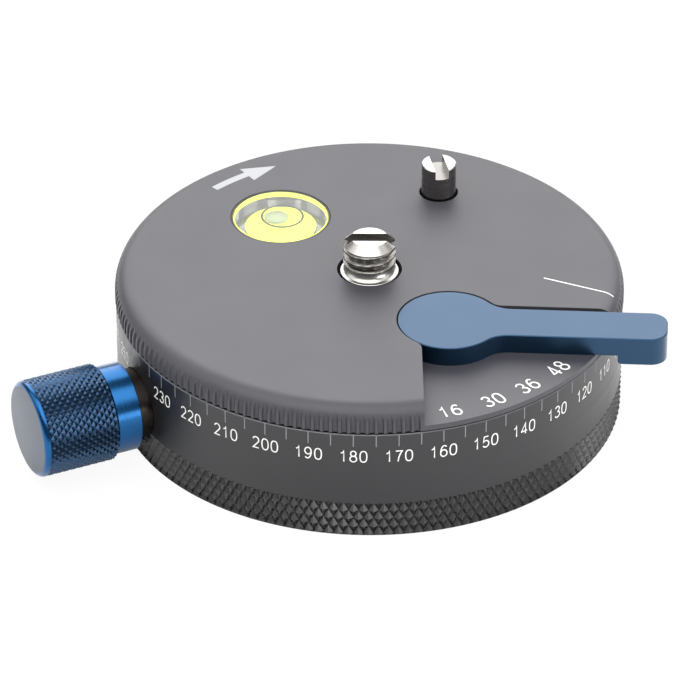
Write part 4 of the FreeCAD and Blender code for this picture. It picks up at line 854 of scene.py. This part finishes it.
class HEAD_OT_plate_marks(bpy.types.Operator):
    """Marks the plate with its index line, turning arrow and click-stop numbers"""

    bl_idname = "head.plate_marks"
    bl_label = "Plate Marks"

    def execute(self, context):
        sizes = context.scene.head_sizes
        top, lift, sunk = sizes.plate_top, sizes.print_lift, sizes.print_root
        foot_of_numbers, weight = 44.3, 0.104
        numbers = []
        for step, angle in STEPS:
            wrap = around(angle, foot_of_numbers * MM, POCKET_FLOOR * MM - sunk, upright=False)
            numbers += lettering(step, sizes.step_height, weight, lift + sunk, wrap)
        # The index line runs out over the plate and down its shoulder.
        way = np.linspace((31.53, -1.01), (44.2, -5.57), 25) * MM
        line = ribbon(way, False, 0.27 * MM, lift + sunk)
        reach = np.hypot(line[0][:, 0], line[0][:, 1]) - sizes.plate_radius
        beyond = np.maximum(reach + sizes.plate_shoulder, 0.0)
        line[0][:, 2] += (top - sunk - sizes.plate_shoulder
                          + np.sqrt(sizes.plate_shoulder ** 2 - beyond ** 2))
        # The arrow bends round the pan axis: a shaft between two radii, and a wider head.
        tail, neck, tip, steps = 139.67, 128.57, 119.67, 12
        plan = np.concatenate([
            arc((0, 0), 40.3, tail, neck, steps),
            [polar(41.8, neck), polar(39.4, tip), polar(37.1, neck)],
            arc((0, 0), 38.8, tail, neck, steps)[::-1]])
        for name, shape, finish in (
                ("step_numbers", joined(numbers), "ink"), ("index_line", line, "ink"),
                ("turn_arrow", flat_plate(plan, top - sunk, top + lift), "arrow")):
            fit(put(name, shape), "turntable", "plate_anodised", finish)
        return {"FINISHED"}


def flat_plate(outline, bottom, top):
    """A thin plate with any plan, given in millimetres: its outline at two heights, filled."""
    shape = bmesh.new()
    ring = [shape.verts.new((x * MM, y * MM, bottom)) for x, y in outline]
    face = shape.faces.new(ring)
    lifted = bmesh.ops.extrude_face_region(shape, geom=[face])["geom"]
    upper = [item for item in lifted if isinstance(item, bmesh.types.BMVert)]
    bmesh.ops.translate(shape, verts=upper, vec=(0, 0, top - bottom))
    bmesh.ops.recalc_face_normals(shape, faces=shape.faces)
    bmesh.ops.triangulate(shape, faces=shape.faces)
    shape.verts.index_update()
    vertices = np.array([vertex.co[:] for vertex in shape.verts])
    faces = np.array([[vertex.index for vertex in face.verts] for face in shape.faces])
    shape.free()
    return vertices, faces


class HEAD_OT_level(bpy.types.Operator):
    """Builds the bull's-eye level: clear vial, fluid, marking circle and bubble"""

    bl_idname = "head.level"
    bl_label = "Bubble Level"

    def execute(self, context):
        outside, top, bottom, bevel = 8.8, 26.42, 20.95, 0.12
        vial = post([(outside, bottom), (outside, top - bevel), (outside - bevel, top)], 128)
        fluid = post([(6.4, 21.5), (6.5, 21.55), (6.55, 21.7), (6.5, 21.9), (6.4, 21.95)], 96)
        # A thin ring with the glowing fluid finish just inside the cup: a painted glow for the
        # yellow light seen round the vial's edge.
        edge = turned([(8.5, 24.1), (8.62, 24.1), (8.62, 26.25), (8.5, 26.25)], 128)
        circle = moved(turned(arc((3.75, 25.6), 0.22, 0, 330, 10), 96), 0.25, 0.75)
        bubble = post(arc((1.8, 25.0), 0.5, -90, 90, 11), 64, (-0.8, 0.6))
        for name, shape, finish, slot, nodes in (
                ("level_vial_clear", vial, "acrylic", "clear_acrylic", ("level_vial",)),
                ("level_fluid_glow", fluid, "glow", "level_fluid", ("level_fluid",)),
                ("level_edge_glow", edge, "glow", "level_fluid", ()),
                ("level_circle", circle, "dark_steel", "clear_acrylic", ()),
                ("level_bubble", bubble, "air", "level_fluid", ())):
            fit(put(name, moved(shape, *LEVEL_PLACE)), "turntable", slot, finish, *nodes)
        return {"FINISHED"}


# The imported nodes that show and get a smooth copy, each with its finish.
SMOOTHED = {"selector_lever": "blue", "anti_twist_pin": "pin_steel", "level_cup": "cup",
            "clamp_bush": "dark_bronze", "pan_spindle": "steel"}
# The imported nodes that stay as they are, by finish.
INNER = {
    "dark_steel": ("spindle_nut", "spindle_screws", "index_disc_screws", "hub_screws",
                   "drum_screws", "camera_screw_nut", "lever_clip", "detent_tube",
                   "pin_stop_ring"),
    "steel": ("index_disc", "lever_washer", "detent_spring", "detent_ball", "clamp_stud"),
    "bronze": ("lever_bush", "bearing_bush", "brake_shoe"),
    "black": ("rotor_hub", "brake_drum"),
    "ptfe": ("glide_ring_lower", "glide_ring_upper")}


def smooth_copy(node):
    """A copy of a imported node, its loose triangles merged and its curves shaded smooth."""
    mesh = NODES[node].data
    spots = np.round(read(mesh.vertices, "co", 3), 6)
    vertices, merged = np.unique(spots, axis=0, return_inverse=True)
    corners = read(mesh.loops, "vertex_index", 1, np.int32)
    triangles = merged.reshape(-1)[corners].reshape(-1, 3)
    whole = (triangles != np.roll(triangles, 1, axis=1)).all(axis=1)
    return put(node + "_smooth", (vertices, triangles[whole]))


class HEAD_OT_fittings(bpy.types.Operator):
    """Finishes the lever, the pin and the inner pieces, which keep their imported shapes"""

    bl_idname = "head.fittings"
    bl_label = "Fittings"

    def execute(self, context):
        record, pin_slot_floor = frame["record"], 32.6
        slots = {part["node"]: part["material_slot"] for part in record["subparts"]}
        bodies = {node: body for body, nodes in record["behaviour"]["bodies"].items()
                  for node in nodes}
        for node, finish in SMOOTHED.items():
            piece = smooth_copy(node)
            fit(piece, bodies[node], slots[node], finish, node)
            if node == "anti_twist_pin":
                second_finish(piece, "steel", face_places(piece)[1] > pin_slot_floor * MM)
        for finish, nodes in INNER.items():
            for node in nodes:
                materials = NODES[node].data.materials
                materials.clear()
                materials.append(finishes()[finish])
        return {"FINISHED"}


# ---- stage ----

# The camera, in degrees and millimetres. Its azimuth counts from -Y.
CAMERA_AZIMUTH = 3.37
CAMERA_ELEVATION = 33.742
CAMERA_DISTANCE = 1054.84
CAMERA_SHIFT = (-5.34, 9.28)
CAMERA_ROLL = 0.036
CAMERA_LENS = 305.06

# How much of the floor is plain white where it is seen, and where it is mirrored. The rest is
# lit by the lamps and takes the shadow.
FLOOR_SHARE = (0.93, 0.1)
# How strong the world is as a light. Where it is seen it is white.
WORLD_LIGHT = 0.35

# Each softbox: direction and height in degrees, distance, width and depth in metres, radiance.
SOFTBOXES = (
    ("back_softbox", 90.0, 40.0, 0.75, 1.3, 0.7, 3.5),
    ("right_softbox", -5.0, 34.0, 0.8, 0.5, 0.6, 1.5),
    ("left_softbox", 184.0, 34.0, 0.8, 0.5, 0.6, 1.6),
    ("top_softbox", -98.0, 64.0, 0.36, 0.5, 0.34, 3.2),
    ("low_softbox", -31.0, 8.0, 0.8, 0.5, 0.2, 7.0),
)


def towards(azimuth, elevation):
    """The way out from the middle, at degrees round from +X and degrees up."""
    side, rise = math.radians(azimuth), math.radians(elevation)
    return Vector((math.cos(side) * math.cos(rise), math.sin(side) * math.cos(rise),
                   math.sin(rise)))


def looking(back, roll=0.0):
    """The turn of a camera or lamp whose local Z points along a vector."""
    turn = back.to_track_quat("Z", "Y")
    return turn.to_matrix().to_4x4() @ Matrix.Rotation(math.radians(roll), 4, "Z")


def seen_rays(tree):
    """A light path, and 1 for a ray that sees its target directly or through glass."""
    path = add_node(tree, "ShaderNodeLightPath")
    return path, add_node(tree, "ShaderNodeMath", (
        (0, path.outputs["Is Camera Ray"]), (1, path.outputs["Is Transmission Ray"])),
        operation="MAXIMUM")


def add_floor(scene):
    """A white floor just under the foot that still takes a shadow."""
    half = 4.0
    mesh = bpy.data.meshes.new("floor")
    mesh.from_pydata([(x * half, y * half, 0) for x, y in SQUARE], [], [(0, 1, 2, 3)])
    floor = bpy.data.objects.new("floor", mesh)
    floor.location.z = -0.02 * MM
    scene.collection.objects.link(floor)
    material, tree, output = new_material("white_studio_floor")
    path, seen = seen_rays(tree)
    shine = add_node(tree, "ShaderNodeMath", (
        (0, path.outputs["Is Glossy Ray"]), (1, FLOOR_SHARE[1])), operation="MULTIPLY")
    share = add_node(tree, "ShaderNodeMath", ((0, seen), (1, FLOOR_SHARE[0]), (2, shine)),
                     operation="MULTIPLY_ADD")
    matt = add_node(tree, "ShaderNodeBsdfDiffuse", (("Color", linear("#F4F4F4")),))
    white = add_node(tree, "ShaderNodeEmission")
    mixed = add_node(tree, "ShaderNodeMixShader", ((0, share), (1, matt), (2, white)))
    tree.links.new(mixed.outputs[0], output.inputs[0])
    mesh.materials.append(material)


def add_world(scene):
    """White where it is seen, and a dim even light elsewhere."""
    world = bpy.data.worlds.new("studio")
    world.use_nodes = True
    tree = world.node_tree
    tree.nodes.clear()
    strength = add_node(tree, "ShaderNodeMapRange", (
        ("Value", seen_rays(tree)[1]), ("To Min", WORLD_LIGHT)))
    light = add_node(tree, "ShaderNodeBackground", (("Strength", strength),))
    add_node(tree, "ShaderNodeOutputWorld", (("Surface", light),))
    scene.world = world


def add_softboxes(scene):
    """Area lamps that face the middle of the head."""
    for name, azimuth, height, distance, width, depth, radiance in SOFTBOXES:
        lamp = bpy.data.lights.new(name, "AREA")
        lamp.shape = "RECTANGLE"
        lamp.size, lamp.size_y = width, depth
        lamp.energy = radiance * width * depth * math.pi
        box = bpy.data.objects.new(name, lamp)
        scene.collection.objects.link(box)
        back = towards(azimuth, height)
        box.matrix_world = Matrix.Translation(back * distance) @ looking(back)


def add_camera(scene):
    """A long lens from the front, above and slightly to the right."""
    lens = bpy.data.cameras.new("camera")
    lens.sensor_width, lens.lens, lens.clip_end = 36.0, CAMERA_LENS, 20.0
    camera = bpy.data.objects.new("camera", lens)
    scene.collection.objects.link(camera)
    back = towards(CAMERA_AZIMUTH - 90, CAMERA_ELEVATION)
    right = towards(CAMERA_AZIMUTH, 0)
    aim = (right * CAMERA_SHIFT[0] + back.cross(right) * CAMERA_SHIFT[1]) * MM
    spot = back * CAMERA_DISTANCE * MM
    camera.matrix_world = Matrix.Translation(spot) @ looking(spot - aim, CAMERA_ROLL)
    scene.camera = camera


class HEAD_OT_stage(bpy.types.Operator):
    """Sets up the white floor, the softboxes and the camera"""

    bl_idname = "head.stage"
    bl_label = "Stage"

    def execute(self, context):
        context.scene.view_settings.view_transform = "Standard"
        for add in (add_floor, add_world, add_softboxes, add_camera):
            add(context.scene)
        return {"FINISHED"}


PIECES = (HEAD_OT_housing, HEAD_OT_plate, HEAD_OT_clamp_knob, HEAD_OT_camera_screw,
          HEAD_OT_tripod_bush, HEAD_OT_scale, HEAD_OT_plate_marks, HEAD_OT_level,
          HEAD_OT_fittings, HEAD_OT_stage)


class HEAD_PT_panel(bpy.types.Panel):
    """Lists the head's pieces and its stage"""

    bl_label = "Panoramic Head"
    bl_idname = "HEAD_PT_panel"
    bl_space_type = "VIEW_3D"
    bl_region_type = "UI"
    bl_category = "Head"

    def draw(self, context):
        for operator in PIECES:
            self.layout.operator(operator.bl_idname)


CLASSES = (HeadSizes, HeadColours, *PIECES, HEAD_PT_panel)


def register():
    """Registers the classes and their settings."""
    for item in CLASSES:
        bpy.utils.register_class(item)
    bpy.types.Scene.head_sizes = PointerProperty(type=HeadSizes)
    bpy.types.Scene.head_colours = PointerProperty(type=HeadColours)


def unregister():
    """Takes the settings and the classes away again."""
    del bpy.types.Scene.head_colours
    del bpy.types.Scene.head_sizes
    for item in reversed(CLASSES):
        bpy.utils.unregister_class(item)


def main():
    """Builds every piece and the stage."""
    register()
    for operator in PIECES:
        getattr(bpy.ops.head, operator.bl_idname.split(".")[1])()


if __name__ == "__main__":
    main()
